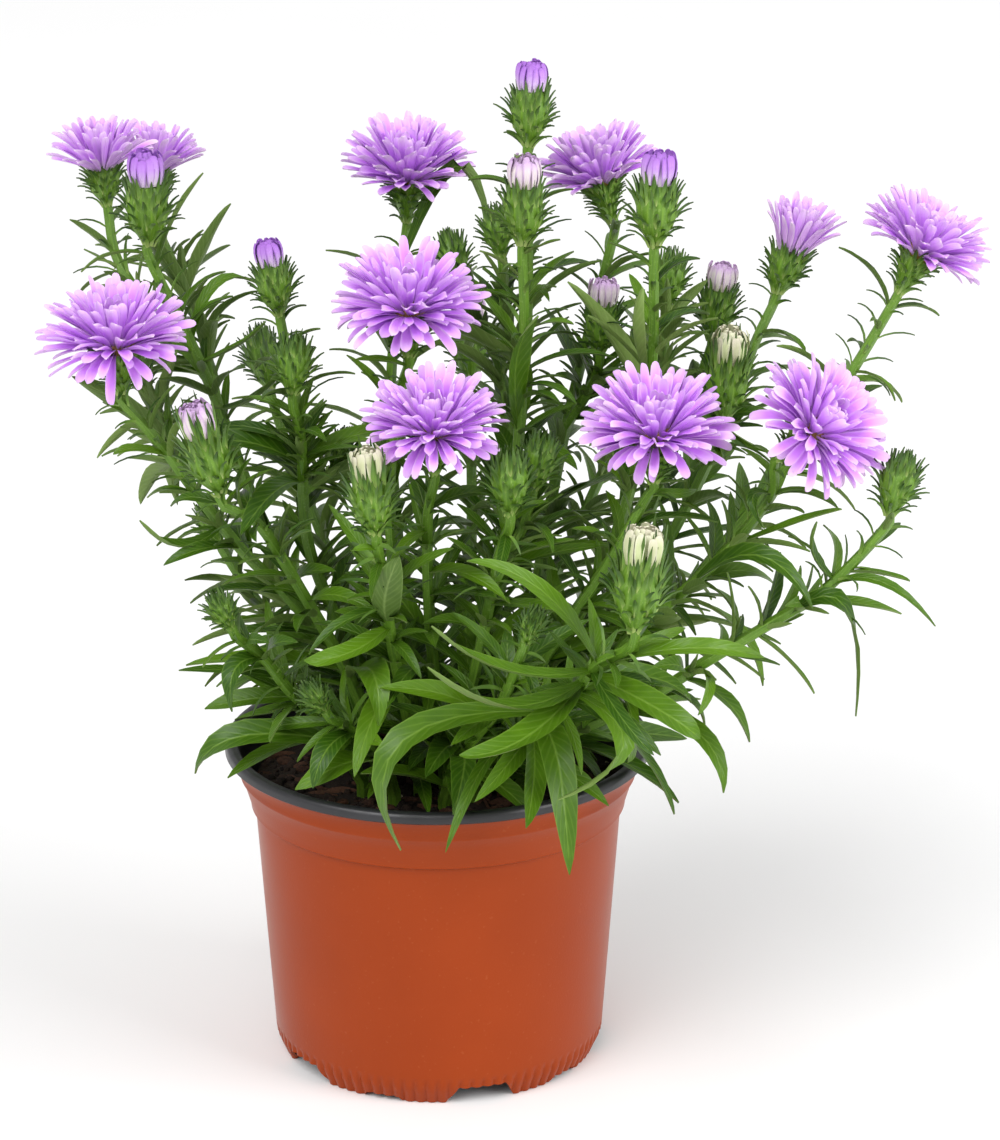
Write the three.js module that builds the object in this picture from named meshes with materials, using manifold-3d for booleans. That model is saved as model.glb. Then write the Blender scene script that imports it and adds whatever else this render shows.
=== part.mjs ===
// A New York aster in a two-tone nursery pot: pot, soil, leafy stems, lilac blooms and buds.
// Millimetres, +Z up. The origin is the centre of the pot's underside, and the plant's front faces -Y.
import * as THREE from "three";
import { mergeVertices } from "three/addons/utils/BufferGeometryUtils.js";
import Module from "manifold-3d";

const wasm = await Module();
wasm.setup();

// Pot
const POT_HEIGHT = 92.5;
const POT_SIDES = 35;
const RIM_RADIUS = 60;
const FLANGE_WIDTH = 3.5;
const RIM_LIP = 3;
const BAND_HEIGHT = 19;
const WALL_TOP_RADIUS = 51.7;
const WALL_FOOT_RADIUS = 46.8;
const BASE_RADIUS = 44.6;
const SKIRT_HEIGHT = 5;
const WALL = 1;
const FLOOR_HEIGHT = 6.5;
const PAD_RADIUS = 12;
const FEET = 5;
const FIRST_FOOT = -20;
const NOTCH_WIDTH = 25.5;
const DRAIN_RADIUS = 3.5;
const DRAIN_RING = 32;

// Soil and the holes that the stems stand in
const SOIL_TOP = 80;
const SOIL_SIDES = 20;
const SOIL_RELIEF = 1.1;
const HOLE_DEPTH = 12;
const GAP = 0.35;

// Stems
const STEM_SIDES = 5;
const STEM_RADIUS = 1.9;
const NECK_RADIUS = 1.35;
const STEM_STEP = 27;
const SHANK_RISE = 4;

// Leaves along a stem
const LEAF_PITCH = 25;
const FIRST_LEAF = 12;
const LONG_LEAF = 48;
const SHORT_LEAF = 20;
const WIDE_LEAF = 8.6;
const NARROW_LEAF = 3.6;
const LEAF_THICKNESS = 1;
const SHORT_BLADE = 31;
const CLEARANCE = 0.35;

// Flower heads
const PETAL_WIDTH = 4;
const PETAL_THICKNESS = 0.8;
const PETAL_CROWDING = 0.8;

// The florets of an open, a cupped and a half-open head: the core as [height, radius], and rows from the outside in.
const FLORETS = {
  bloom: {
    radius: 21,
    sides: 10,
    core: [[0, 4.6], [3, 5.4], [5.2, 4.4], [7, 2.8]],
    rows: [{ tilt: 80, reach: 1 }, { tilt: 54, reach: 0.98 }, { tilt: 30, reach: 0.76 }],
  },
  cup: {
    radius: 20,
    sides: 9,
    core: [[0, 3.8], [3.5, 4.4], [7, 3]],
    rows: [{ tilt: 58, reach: 1 }, { tilt: 28, reach: 0.96 }],
  },
  half: {
    radius: 19,
    sides: 9,
    core: [[0, 3.8], [3.5, 4.4], [7, 3]],
    rows: [{ tilt: 36, reach: 1 }, { tilt: 16, reach: 0.92 }],
  },
};

// A head has a kind, a place, the way it faces and a size, which is 1 at full size.
function flower(kind, at, face, size) {
  return { kind, at, face, size };
}

// Each leafy stem: where it leaves the soil, the points it grows through, and its head.
// A branch starts at a point of its stem's path, such as 3.4 for a little past the fourth.
const STEMS = [
  {
    name: "back_left",
    path: [[-17, 11], [-32, 15, 117], [-50, 24, 149], [-62, 27, 182], [-70, 25, 203]],
    head: flower("bud", [-80, 24, 246], [0, -0.1, 1], 1.15),
    branches: [
      {
        from: 3.4,
        path: [[-79, 32, 206], [-90, 40, 220]],
        head: flower("cup", [-94, 45, 245], [-0.1, 0, 1], 0.82),
      },
      {
        from: 3,
        path: [[-68, 42, 202], [-77, 56, 218]],
        head: flower("cup", [-81, 62, 240], [0.12, 0.15, 1], 0.8),
      },
    ],
  },
  {
    name: "left",
    path: [[-17, -3], [-24, -7, 112], [-40, -12, 137], [-53, -14, 152], [-64, -15, 167], [-76, -14, 184]],
    head: flower("bloom", [-86, -14, 209], [-0.06, -0.14, 1], 1.03),
    branches: [
      {
        from: 4.2,
        path: [[-76, 6, 184]],
        head: flower("green", [-84, 20, 196], [-0.4, 0.5, 0.8], 0.6),
      },
    ],
  },
  {
    name: "twin_left",
    path: [[-9, 5], [-13, 4, 97], [-26, 1, 122], [-35, -2, 147], [-37, -2, 165], [-37, -1, 182]],
    head: flower("bud", [-45, 4, 228], [-0.15, 0, 1], 0.9),
    branches: [
      {
        from: 4,
        path: [[-37, -10, 184]],
        head: flower("green", [-38, -14, 211], [0.05, -0.1, 1], 0.95),
      },
      {
        from: 4,
        path: [[-31, 4, 168]],
        head: flower("green", [-25, 8, 178], [0.4, 0.1, 0.9], 0.6),
      },
    ],
  },
  {
    name: "back_mid",
    path: [[-4, 17], [-4, 20, 98], [-10, 33, 124], [-13, 43, 150], [-14, 52, 177], [-12, 57, 204]],
    head: flower("bloom", [-9, 60, 238], [0.02, -0.18, 1], 0.97),
  },
  {
    name: "mid_left",
    path: [[-6, -3], [-6, -3, 97], [-11, -3, 130], [-13, -4, 163], [-11, -5, 190]],
    head: flower("bloom", [-7, -14, 219], [0.02, -0.24, 1], 1.02),
  },
  {
    name: "mid_low",
    path: [[2, -9], [0, -15, 106], [-2, -25, 140], [-2, -35, 169]],
    head: flower("bloom", [0, -44, 194], [0, -0.27, 1], 0.94),
  },
  {
    name: "tall_back",
    path: [[6, 11], [7, 13, 92], [13, 17, 118], [18, 19, 145], [23, 19, 178], [25, 19, 212]],
    head: flower("bud", [26, 16, 274], [0.06, 0, 1], 1),
    branches: [
      {
        from: 4.4,
        path: [[19, 27, 208]],
        head: flower("green", [16, 31, 236], [-0.15, 0.1, 1], 0.8),
      },
      {
        from: 3.8,
        path: [[16, 31, 196], [8, 38, 209]],
        head: flower("green", [3, 42, 226], [-0.25, 0.1, 1], 0.85),
      },
    ],
  },
  {
    name: "tall_mid",
    path: [[8, 2], [9, 2, 96], [16, 2, 127], [20, 1, 157], [23, 0, 186], [24, 0, 215]],
    head: flower("bud", [24, 0, 251], [0.03, -0.05, 1], 1.05),
  },
  {
    name: "back_right",
    path: [[15, 11], [19, 13, 98], [26, 17, 122], [31, 22, 150], [36, 28, 175], [42, 32, 200]],
    head: flower("bloom", [46, 36, 243], [-0.28, 0.05, 1], 0.88),
    branches: [
      {
        from: 4,
        path: [[43, 24, 188]],
        head: flower("bud", [46, 19, 213], [0.05, -0.1, 1], 0.9),
      },
    ],
  },
  {
    name: "tall_right",
    path: [[16, 3], [22, 2, 96], [37, -1, 124], [49, -3, 152], [56, -4, 179], [59, -5, 205]],
    head: flower("bud", [60, -5, 253], [0.05, 0, 1], 1.1),
    branches: [
      {
        from: 4.3,
        path: [[62, 6, 196], [63, 14, 208]],
        head: flower("green", [65, 20, 226], [0.1, 0.1, 1], 0.9),
      },
    ],
  },
  {
    name: "right_low",
    path: [[15, -5], [20, -10, 102], [34, -20, 130], [47, -29, 154], [57, -33, 174]],
    head: flower("bloom", [59, -38, 191], [0.03, -0.24, 1], 1.03),
  },
  {
    name: "back_far_right",
    path: [[22, 12], [28, 14, 95], [46, 22, 122], [60, 28, 150], [70, 31, 178]],
    head: flower("bud", [79, 31, 214], [0.15, 0, 1], 0.95),
  },
  {
    name: "right_top",
    path: [[24, 5], [32, 7, 96], [51, 11, 123], [68, 15, 152], [80, 19, 178], [88, 22, 200]],
    head: flower("half", [98, 25, 226], [0.3, 0, 1], 0.95),
    branches: [
      {
        from: 3.6,
        path: [[77, 6, 184]],
        head: flower("bud", [80, -2, 203], [0.05, -0.2, 1], 1.15),
      },
    ],
  },
  {
    name: "far_right",
    path: [[30, 0], [38, 0, 98], [60, 2, 123], [82, 4, 151], [101, 6, 176], [114, 8, 196]],
    head: flower("bloom", [132, 10, 229], [0.45, 0.02, 0.9], 0.93),
  },
  {
    name: "right_front",
    path: [[24, -9], [31, -12, 100], [53, -21, 129], [75, -27, 152], [90, -29, 172]],
    head: flower("bloom", [100, -38, 193], [0.62, -0.4, 0.68], 1),
  },
  {
    name: "low_right",
    path: [[22, -18], [31, -22, 98], [57, -29, 114], [73, -35, 127], [90, -38, 139], [105, -40, 150]],
    head: flower("green", [125, -41, 186], [0.25, 0, 1], 1),
  },
  {
    name: "front",
    path: [[10, -20], [16, -27, 97], [28, -43, 112], [37, -60, 127], [43, -72, 140]],
    head: flower("bud", [54, -84, 172], [0.1, -0.1, 1], 1.25),
  },
  {
    name: "mid_front",
    path: [[4, -16], [8, -21, 108], [13, -29, 134], [17, -37, 158]],
    head: flower("green", [20, -49, 189], [0, -0.2, 1], 1.05),
    branches: [
      {
        from: 2.6,
        path: [[23, -33, 164]],
        head: flower("green", [29, -35, 190], [0.2, 0, 1], 0.9),
      },
    ],
  },
  {
    name: "front_left",
    path: [[-5, -13], [-8, -22, 106], [-12, -36, 134], [-14, -48, 158]],
    head: flower("bud", [-17, -58, 187], [-0.1, -0.15, 1], 1.05),
  },
  {
    name: "left_front",
    path: [[-14, -11], [-24, -17, 116], [-37, -25, 145], [-48, -31, 166]],
    head: flower("bud", [-62, -36, 192], [-0.25, -0.15, 1], 1.15),
  },
  {
    name: "low_left",
    path: [[-21, -13], [-29, -18, 101], [-40, -27, 116], [-47, -33, 128]],
    head: flower("green", [-59, -39, 147], [-0.4, -0.1, 0.9], 0.65),
  },
  {
    name: "side_shoot",
    path: [[-12, -22], [-15, -28, 96], [-23, -36, 108]],
    head: flower("green", [-34, -42, 122], [-0.5, -0.1, 0.8], 0.55),
  },
  {
    name: "tiny_front",
    path: [[2, -26], [6, -32, 98], [17, -46, 118]],
    head: flower("green", [27, -62, 150], [0.3, -0.2, 0.9], 0.6),
  },
  {
    name: "rear_left",
    path: [[-11, 20], [-18, 28, 102], [-32, 44, 132], [-44, 57, 160]],
    head: flower("green", [-52, 68, 190], [-0.2, 0.3, 1], 1),
  },
  {
    name: "rear_mid",
    path: [[4, 23], [6, 34, 104], [9, 52, 132], [9, 66, 158]],
    head: flower("bud", [9, 78, 190], [0, 0.3, 1], 1),
  },
  {
    name: "rear_right",
    path: [[15, 20], [22, 32, 104], [37, 48, 132], [50, 60, 158]],
    head: flower("green", [60, 72, 188], [0.2, 0.3, 1], 1),
  },
  {
    name: "rear_low",
    path: [[-19, 20], [-34, 32, 98], [-52, 44, 116]],
    head: flower("green", [-68, 54, 142], [-0.4, 0.3, 0.9], 0.7),
  },
];

// Large leaves that show one by one: their stem, then root, middle and tip, then width.
const LARGE_LEAVES = [
  ["front", [43, -72, 142], [28, -84, 165], [9, -90, 175], 5.5],
  ["front", [41, -70, 138], [19, -92, 146], [0, -92, 158], 6],
  ["front", [40, -66, 133], [19, -92, 136], [-1, -98, 149], 6.5],
  ["front", [44, -72, 141], [67, -84, 149], [87, -72, 142], 5],
  ["front", [39, -66, 131], [23, -96, 128], [7, -104, 127], 8],
  ["front", [44, -68, 135], [58, -94, 136], [69, -100, 130], 8],
  ["front", [44, -70, 137], [49, -96, 134], [57, -104, 127], 4],
  ["front", [45, -66, 134], [59, -58, 131], [69, -52, 122], 7],
  ["front", [28, -43, 112], [33, -66, 110], [36, -76, 82], 8],
  ["front", [20, -32, 101], [12, -60, 105], [3, -75, 88], 3.5],
  ["front", [32, -50, 119], [-8, -78, 121], [-9, -76, 89], 8],
  ["tiny_front", [6, -31, 96], [8, -52, 105], [5, -68, 96], 7],
  ["front", [40, -60, 127], [50, -76, 119], [33, -80, 105], 5.5],
  ["low_right", [50, -26, 110], [70, -58, 116], [77, -70, 103], 5.5],
  ["side_shoot", [-18, -31, 100], [-51, -40, 108], [-66, -38, 96], 8],
  ["side_shoot", [-14, -26, 93], [-22, -44, 102], [-38, -50, 96], 9],
  ["low_left", [-47, -33, 127], [-54, -42, 128], [-55, -46, 117], 5.5],
  ["front_left", [-12, -38, 139], [-23, -52, 136], [-35, -52, 134], 6],
  ["left_front", [-24, -17, 116], [-17, -44, 128], [-15, -54, 116], 8],
  ["side_shoot", [-23, -36, 106], [-29, -50, 108], [-33, -54, 98], 6],
  ["left", [-60, -15, 159], [-70, -24, 157], [-80, -26, 165], 4],
  ["left", [-75, -14, 178], [-81, -22, 184], [-87, -24, 183], 3.5],
  ["left", [-54, -14, 153], [-64, -24, 156], [-74, -26, 152], 4],
  ["back_left", [-69, 25, 201], [-62, 30, 216], [-50, 34, 215], 3],
  ["back_left", [-67, 26, 195], [-54, 12, 204], [-47, 6, 212], 3],
  ["back_left", [-61, 26, 181], [-51, 16, 187], [-41, 12, 198], 5],
  ["low_right", [95, -39, 143], [110, -46, 147], [114, -44, 115], 6],
  ["right_front", [69, -24, 145], [86, -44, 161], [101, -50, 148], 6.5],
  ["low_right", [105, -40, 151], [119, -48, 155], [134, -50, 143], 3],
  ["low_right", [106, -40, 155], [101, -44, 162], [102, -46, 171], 4],
  ["right_front", [81, -27, 159], [98, -44, 171], [108, -50, 176], 2.8],
  ["right_front", [90, -30, 174], [85, -40, 176], [88, -43, 168], 3],
  ["tall_mid", [22, 0, 183], [22, -8, 205], [28, -11, 218], 7],
  ["tall_right", [58, -5, 199], [54, -14, 214], [56, -15, 227], 7],
  ["front_left", [-12, -38, 141], [-13, -54, 153], [-9, -60, 166], 8],
  ["back_mid", [-12, 57, 214], [5, 54, 244], [15, 46, 224], 4],
];

const COLOURS = {
  pot: { color: 0xb7552c, roughness: 0.5, metalness: 0 },
  soil: { color: 0x2e211a, roughness: 0.95, metalness: 0 },
  stem: { color: 0x3f6b26, roughness: 0.6, metalness: 0 },
  bloom: { color: 0xb389e6, roughness: 0.7, metalness: 0 },
  crown: { color: 0xa98fce, roughness: 0.7, metalness: 0 },
};

const X = 0;
const Y = 1;
const Z = 2;

function vector(point) {
  return new THREE.Vector3(point[X], point[Y], point[Z]);
}

// A repeatable draw between 0 and 1 from three whole numbers.
function draw(a, b, c) {
  let t = (a * 73856093 + b * 19349663 + c * 83492791 + 0x6d2b79f5) >>> 0;
  t = Math.imul(t ^ (t >>> 15), t | 1) >>> 0;
  t = (t ^ (t + Math.imul(t ^ (t >>> 7), t | 61))) >>> 0;
  return ((t ^ (t >>> 14)) >>> 0) / 4294967296;
}

// A closed surface through rings of points; a ring of one point is a tip.
// Where drawnOut gives further rings for a face between two rings, the face grows through them.
function loft(rings, drawnOut = () => []) {
  const points = rings.flat();
  const faces = [];
  const fan = (corners) => corners.slice(2).forEach((c, n) => faces.push(corners[0], corners[n + 1], c));
  const addRing = (ring) => ring.map((point) => points.push(point) - 1);
  const bridge = (ring, next) => {
    ring.forEach((corner, i) => {
      const j = (i + 1) % ring.length;
      fan(next.length === 1 ? [corner, ring[j], next[0]] : [corner, ring[j], next[j], next[i]]);
    });
  };
  let first = 0;
  const indexed = rings.map((ring) => ring.map(() => first++));
  fan(indexed[0].slice().reverse());
  indexed.slice(1).forEach((next, k) => {
    indexed[k].forEach((corner, i) => {
      const ring = indexed[k];
      const j = (i + 1) % ring.length;
      const corners = next.length === 1 ? [corner, ring[j], next[0]] : [corner, ring[j], next[j], next[i]];
      const middle = new THREE.Vector3();
      corners.forEach((c) => middle.addScaledVector(points[c], 1 / corners.length));
      let edge = corners;
      for (const grown of drawnOut(k, i, middle)) {
        const ahead = addRing(grown);
        bridge(edge, ahead);
        edge = ahead;
      }
      fan(edge);
    });
  });
  fan(indexed.at(-1));
  const geometry = new THREE.BufferGeometry().setFromPoints(points);
  geometry.setIndex(faces);
  return geometry;
}

function solidOf(geometry) {
  const bare = geometry.clone();
  bare.deleteAttribute("normal");
  bare.deleteAttribute("uv");
  const merged = mergeVertices(bare, 1e-4);
  const corners = merged.index.array;
  const triVerts = [];
  for (let i = 0; i < corners.length; i += 3) {
    const [a, b, c] = corners.slice(i, i + 3);
    if (a !== b && b !== c && c !== a) triVerts.push(a, b, c);
  }
  return new wasm.Manifold(
    new wasm.Mesh({
      numProp: 3,
      vertProperties: new Float32Array(merged.attributes.position.array),
      triVerts: new Uint32Array(triVerts),
    }),
  );
}

// One body from many: loose scraps and sealed hollows are left out.
function fuse(solids) {
  const parts = wasm.Manifold.union(solids).decompose();
  return parts.reduce((a, b) => (a.volume() >= b.volume() ? a : b));
}

function geometryOf(solid) {
  const mesh = solid.getMesh();
  const geometry = new THREE.BufferGeometry();
  geometry.setAttribute("position", new THREE.Float32BufferAttribute(mesh.vertProperties, 3));
  geometry.setIndex(Array.from(mesh.triVerts));
  geometry.computeVertexNormals();
  return geometry;
}

const part = new THREE.Group();
part.name = "potted_new_york_aster";

function addMesh(name, solid, look) {
  const mesh = new THREE.Mesh(geometryOf(solid), new THREE.MeshStandardMaterial(COLOURS[look]));
  mesh.name = name;
  part.add(mesh);
}

// What each later piece has to stay clear of.
const obstacles = [];

function boxesMeet(a, b) {
  return [X, Y, Z].every((k) => a.min[k] <= b.max[k] && b.min[k] <= a.max[k]);
}

function addObstacle(owner, solid, isLeaf = false) {
  obstacles.push({ owner, solid, isLeaf, box: solid.boundingBox() });
}

// Whether a solid stays clear of all others but the stem that bears it, and that stem's leaves if it may.
function isClear(solid, owner, mayMeetLeaves = false) {
  const box = solid.boundingBox();
  return obstacles.every(
    (other) =>
      (other.owner === owner && (mayMeetLeaves || !other.isLeaf)) ||
      !boxesMeet(box, other.box) ||
      other.solid.intersect(solid).isEmpty(),
  );
}

function lathe(outline, sides) {
  const points = outline.map(([r, z]) => new THREE.Vector2(r, z));
  const geometry = new THREE.LatheGeometry(points, sides);
  geometry.rotateX(Math.PI / 2);
  return geometry;
}

// Radius of the pot's outer wall below its band.
function wallRadius(z) {
  const share = (z - SKIRT_HEIGHT) / (POT_HEIGHT - BAND_HEIGHT - SKIRT_HEIGHT);
  return WALL_FOOT_RADIUS + (WALL_TOP_RADIUS - WALL_FOOT_RADIUS) * share;
}

// The wedge that is missing from the skirt between two feet, centred at a turn in degrees from the front.
function notch(turn) {
  const corner = (degrees, r, z) => {
    const angle = THREE.MathUtils.degToRad(turn + degrees - 90);
    return new THREE.Vector3(r * Math.cos(angle), r * Math.sin(angle), z);
  };
  const ring = (z, half) => [
    corner(-half, BASE_RADIUS - 5, z),
    corner(-half, BASE_RADIUS + 5, z),
    corner(half, BASE_RADIUS + 5, z),
    corner(half, BASE_RADIUS - 5, z),
  ];
  return solidOf(loft([ring(-1, NOTCH_WIDTH / 2), ring(SKIRT_HEIGHT, NOTCH_WIDTH / 2 - 2)]));
}

// The pot: a turned shell whose skirt is notched into feet, with drain holes in its raised floor.
function potSolid() {
  const bandFoot = POT_HEIGHT - BAND_HEIGHT;
  const lipFoot = POT_HEIGHT - RIM_LIP;
  const shell = lathe(
    [
      [0, 0],
      [PAD_RADIUS + 1, 0],
      [PAD_RADIUS + 7, FLOOR_HEIGHT],
      [wallRadius(FLOOR_HEIGHT) - WALL, FLOOR_HEIGHT],
      [BASE_RADIUS - WALL, 0],
      [BASE_RADIUS, 0],
      [WALL_FOOT_RADIUS, SKIRT_HEIGHT],
      [WALL_TOP_RADIUS, bandFoot],
      [RIM_RADIUS - 7.2, bandFoot + 1],
      [RIM_RADIUS - 2.6, lipFoot],
      [RIM_RADIUS, lipFoot],
      [RIM_RADIUS - 0.5, POT_HEIGHT],
      [RIM_RADIUS - FLANGE_WIDTH, POT_HEIGHT],
      [RIM_RADIUS - 8.2, bandFoot + 1.5],
      [WALL_TOP_RADIUS - WALL, bandFoot],
      [wallRadius(FLOOR_HEIGHT) - WALL, FLOOR_HEIGHT + WALL],
      [PAD_RADIUS + 6, FLOOR_HEIGHT + WALL],
      [PAD_RADIUS, WALL],
      [0, WALL],
    ],
    POT_SIDES,
  );
  let pot = solidOf(shell);
  for (let foot = 0; foot < FEET; foot++) {
    const turn = FIRST_FOOT + (360 / FEET) * (foot + 0.5);
    const angle = THREE.MathUtils.degToRad(turn);
    const drain = lathe([[0, 0], [DRAIN_RADIUS, 0], [DRAIN_RADIUS, 3], [0, 3]], 6);
    drain.translate(DRAIN_RING * Math.sin(angle), -DRAIN_RING * Math.cos(angle), FLOOR_HEIGHT - 1);
    pot = pot.subtract(notch(turn)).subtract(solidOf(drain));
  }
  return pot;
}

// The soil: it fills the pot and has a bumpy top.
function soilSolid() {
  const edge = wallRadius(POT_HEIGHT - BAND_HEIGHT) - WALL - GAP;
  const floor = FLOOR_HEIGHT + WALL + GAP;
  const geometry = lathe(
    [
      [0, WALL + GAP],
      [PAD_RADIUS - 1, WALL + GAP],
      [PAD_RADIUS + 5, floor],
      [wallRadius(FLOOR_HEIGHT) - WALL - GAP, floor],
      [edge, POT_HEIGHT - BAND_HEIGHT],
      [edge + 1.3, SOIL_TOP - 0.8],
      [edge - 8, SOIL_TOP],
      [edge - 20, SOIL_TOP + 0.6],
      [0, SOIL_TOP + 0.6],
    ],
    SOIL_SIDES,
  );
  const position = geometry.getAttribute("position");
  for (let i = 0; i < position.count; i++) {
    const x = position.getX(i);
    const y = position.getY(i);
    const bump = Math.sin(x * 0.41 + 1.3) * Math.sin(y * 0.47 - 0.6) + 0.6 * Math.sin(x * 0.9 - y * 0.8);
    if (position.getZ(i) > SOIL_TOP - 2) position.setZ(i, position.getZ(i) + bump * SOIL_RELIEF);
  }
  return solidOf(geometry);
}

function prism(x, y, radius, bottom, top) {
  const ring = (z) =>
    Array.from({ length: STEM_SIDES }, (_, i) => {
      const angle = (i / STEM_SIDES) * 2 * Math.PI;
      return new THREE.Vector3(x + radius * Math.cos(angle), y + radius * Math.sin(angle), z);
    });
  return loft([ring(bottom), ring(top)]);
}

// Two directions square to an axis, turned alike for neighbouring sections of a stem.
function crossDirections(axis) {
  const reference = Math.abs(axis.z) > 0.2 ? new THREE.Vector3(1, 0, 0) : new THREE.Vector3(0, 0, 1);
  const across = new THREE.Vector3().crossVectors(axis, reference).normalize();
  const first = new THREE.Vector3().crossVectors(across, axis).normalize();
  return [first, new THREE.Vector3().crossVectors(axis, first)];
}

function direction([first, second], degrees) {
  const angle = THREE.MathUtils.degToRad(degrees);
  return first.clone().multiplyScalar(Math.cos(angle)).addScaledVector(second, Math.sin(angle));
}

function ringAround(centre, axis, radius, sides) {
  const frame = crossDirections(axis);
  return Array.from({ length: sides }, (_, i) =>
    centre.clone().addScaledVector(direction(frame, (i * 360) / sides), radius),
  );
}

// The green part under a head, as [distance below the head's seat, radius] for a head of size 1.
const NECKS = {
  bloom: [[11, 1.7], [7, 3.1], [2.5, 4.8], [0, 5.4]],
  cup: [[11, 1.9], [8, 4.2], [3, 5.2], [0, 4.8]],
  half: [[11, 1.9], [8, 4.2], [3, 5.2], [0, 4.8]],
  bud: [[14, 1.8], [10, 4.6], [4.5, 5.2], [0, 3.7]],
  green: [[14, 1.7], [9.5, 4.3], [3.5, 4.8], [0, 2.4]],
};

// Rows of bracts up the neck, from the lowest: their lean from the axis in degrees, and their length.
const BRACT_ROWS = {
  bloom: [[52, 7], [60, 6.5], [66, 6.5]],
  cup: [[58, 7], [54, 6], [46, 6]],
  half: [[58, 7], [50, 6], [40, 6]],
  bud: [[64, 7], [54, 6], [34, 6]],
  green: [[64, 7], [52, 6.5], [26, 6.5]],
};

// A head's seat, its axis and the directions square to that.
function headFrame(head) {
  const axis = vector(head.face).normalize();
  return { axis, around: crossDirections(axis), seat: vector(head.at) };
}

// The unit vector that leans from one direction towards another by an angle in degrees.
function leaning(from, towards, degrees) {
  const angle = THREE.MathUtils.degToRad(degrees);
  return from
    .clone()
    .multiplyScalar(Math.cos(angle))
    .addScaledVector(towards, Math.sin(angle));
}

// The middle line of a stem or branch, which ends straight under its head.
function stemCurve(start, path, head) {
  const { axis, seat } = headFrame(head);
  const neck = NECKS[head.kind][0][0] * head.size;
  const points = [
    start,
    ...path.map(vector),
    seat.clone().addScaledVector(axis, -neck * 1.35),
    seat.clone().addScaledVector(axis, -neck),
  ];
  return new THREE.CatmullRomCurve3(points, false, "catmullrom", 0.5);
}

// A stem or branch, with its neck: every face of the neck is drawn out into a bract.
function limbGeometry({ curve, head, thickness, foot }) {
  const steps = Math.max(2, Math.round(curve.getLength() / STEM_STEP));
  const rings = foot ? [ringAround(foot, new THREE.Vector3(0, 0, 1), thickness, STEM_SIDES)] : [];
  for (let i = 0; i <= steps; i++) {
    const share = i / steps;
    const radius = thickness + (NECK_RADIUS - thickness) * share;
    rings.push(ringAround(curve.getPointAt(share), curve.getTangentAt(share), radius, STEM_SIDES));
  }
  const neckStart = rings.length - 1;
  const { axis, seat } = headFrame(head);
  for (const [below, radius] of NECKS[head.kind].slice(1)) {
    const centre = seat.clone().addScaledVector(axis, -below * head.size);
    rings.push(ringAround(centre, axis, radius * head.size, STEM_SIDES));
  }
  const bract = (k, i, middle) => {
    const row = BRACT_ROWS[head.kind][k - neckStart];
    if (!row) return [];
    const [lean, length] = row;
    const out = middle.clone().sub(seat);
    out.addScaledVector(axis, -out.dot(axis)).normalize();
    const reach = length * Math.max(head.size, 0.75);
    return [[middle.clone().addScaledVector(leaning(axis, out, lean), reach)]];
  };
  return loft(rings, bract);
}

// A leaf blade along a curve: raised edges over a keel, widest before the middle, with a pointed tip.
function blade(curve, side, width, extra) {
  const stations = curve.getLength() > SHORT_BLADE ? [0, 0.25, 0.62] : [0, 0.4];
  const rings = stations.map((share) => {
    const centre = curve.getPoint(share);
    const normal = new THREE.Vector3().crossVectors(curve.getTangent(share), side).normalize();
    const half = (width / 2) * bladeOutline(share) + extra;
    const lift = half * 0.25 + extra;
    return [
      centre.clone().addScaledVector(side, half).addScaledVector(normal, lift),
      centre.clone().addScaledVector(side, -half).addScaledVector(normal, lift),
      centre.clone().addScaledVector(normal, -LEAF_THICKNESS * (1 - 0.4 * share) - extra),
    ];
  });
  return loft([...rings, [curve.getPoint(1)]]);
}

// Half-width of a blade along its length, as a share of its widest.
function bladeOutline(share) {
  return Math.max(0.18, 1.94 * Math.pow(share, 0.6) * Math.pow(1 - share, 0.75));
}

// The blade's width runs across the plane that the leaf bends in.
function sideOf(curve, stemAxis) {
  const start = curve.getTangent(0);
  const side = new THREE.Vector3().crossVectors(stemAxis, start);
  return side.lengthSq() > 1e-4 ? side.normalize() : new THREE.Vector3(1, 0, 0);
}

// The ways that one leaf along a stem may grow, the preferred one first.
// Each leaf stands on a face of the stem, two fifths of a turn from the last.
function leafChoices(curve, seed, k, distance) {
  const share = distance / curve.getLength();
  const axis = curve.getTangentAt(share);
  const root = curve.getPointAt(share);
  const around = crossDirections(axis);
  const face = 360 / STEM_SIDES;
  const span = (LONG_LEAF + (SHORT_LEAF - LONG_LEAF) * share) * (0.8 + 0.4 * draw(seed, k, 2));
  const width = (WIDE_LEAF + (NARROW_LEAF - WIDE_LEAF) * share) * (0.85 + 0.3 * draw(seed, k, 3));
  const rise = 38 + 22 * draw(seed, k, 4);
  const droop = 15 + 55 * draw(seed, k, 5);
  const choices = [];
  for (const scale of [1, 0.72]) {
    for (const swing of [0, 1, -1, 2, -2]) {
      const out = direction(around, (seed + 2 * k + swing + 0.5) * face);
      const first = leaning(axis, out, rise);
      const second = leaning(axis, out, rise + droop);
      const middle = root.clone().addScaledVector(first, span * scale * 0.5);
      const tip = middle.clone().addScaledVector(second, span * scale * 0.5);
      choices.push({ curve: new THREE.QuadraticBezierCurve3(root, middle, tip), axis, width });
    }
  }
  return choices;
}

// The first choice that is clear of every other piece, or nothing.
function growBlade(owner, choices, mayMeetLeaves = false) {
  for (const { curve, axis, width } of choices) {
    const side = sideOf(curve, axis);
    if (isClear(solidOf(blade(curve, side, width, CLEARANCE)), owner, mayMeetLeaves)) {
      const solid = solidOf(blade(curve, side, width, 0));
      addObstacle(owner, solid, true);
      return [solid];
    }
  }
  return [];
}

// The point of a plant's middle lines that lies nearest to a picked one.
function nearestOn(limbs, picked) {
  const places = limbs.flatMap(({ curve }) => curve.getSpacedPoints(100));
  return places.reduce((a, b) => (a.distanceTo(picked) <= b.distanceTo(picked) ? a : b));
}

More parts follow.
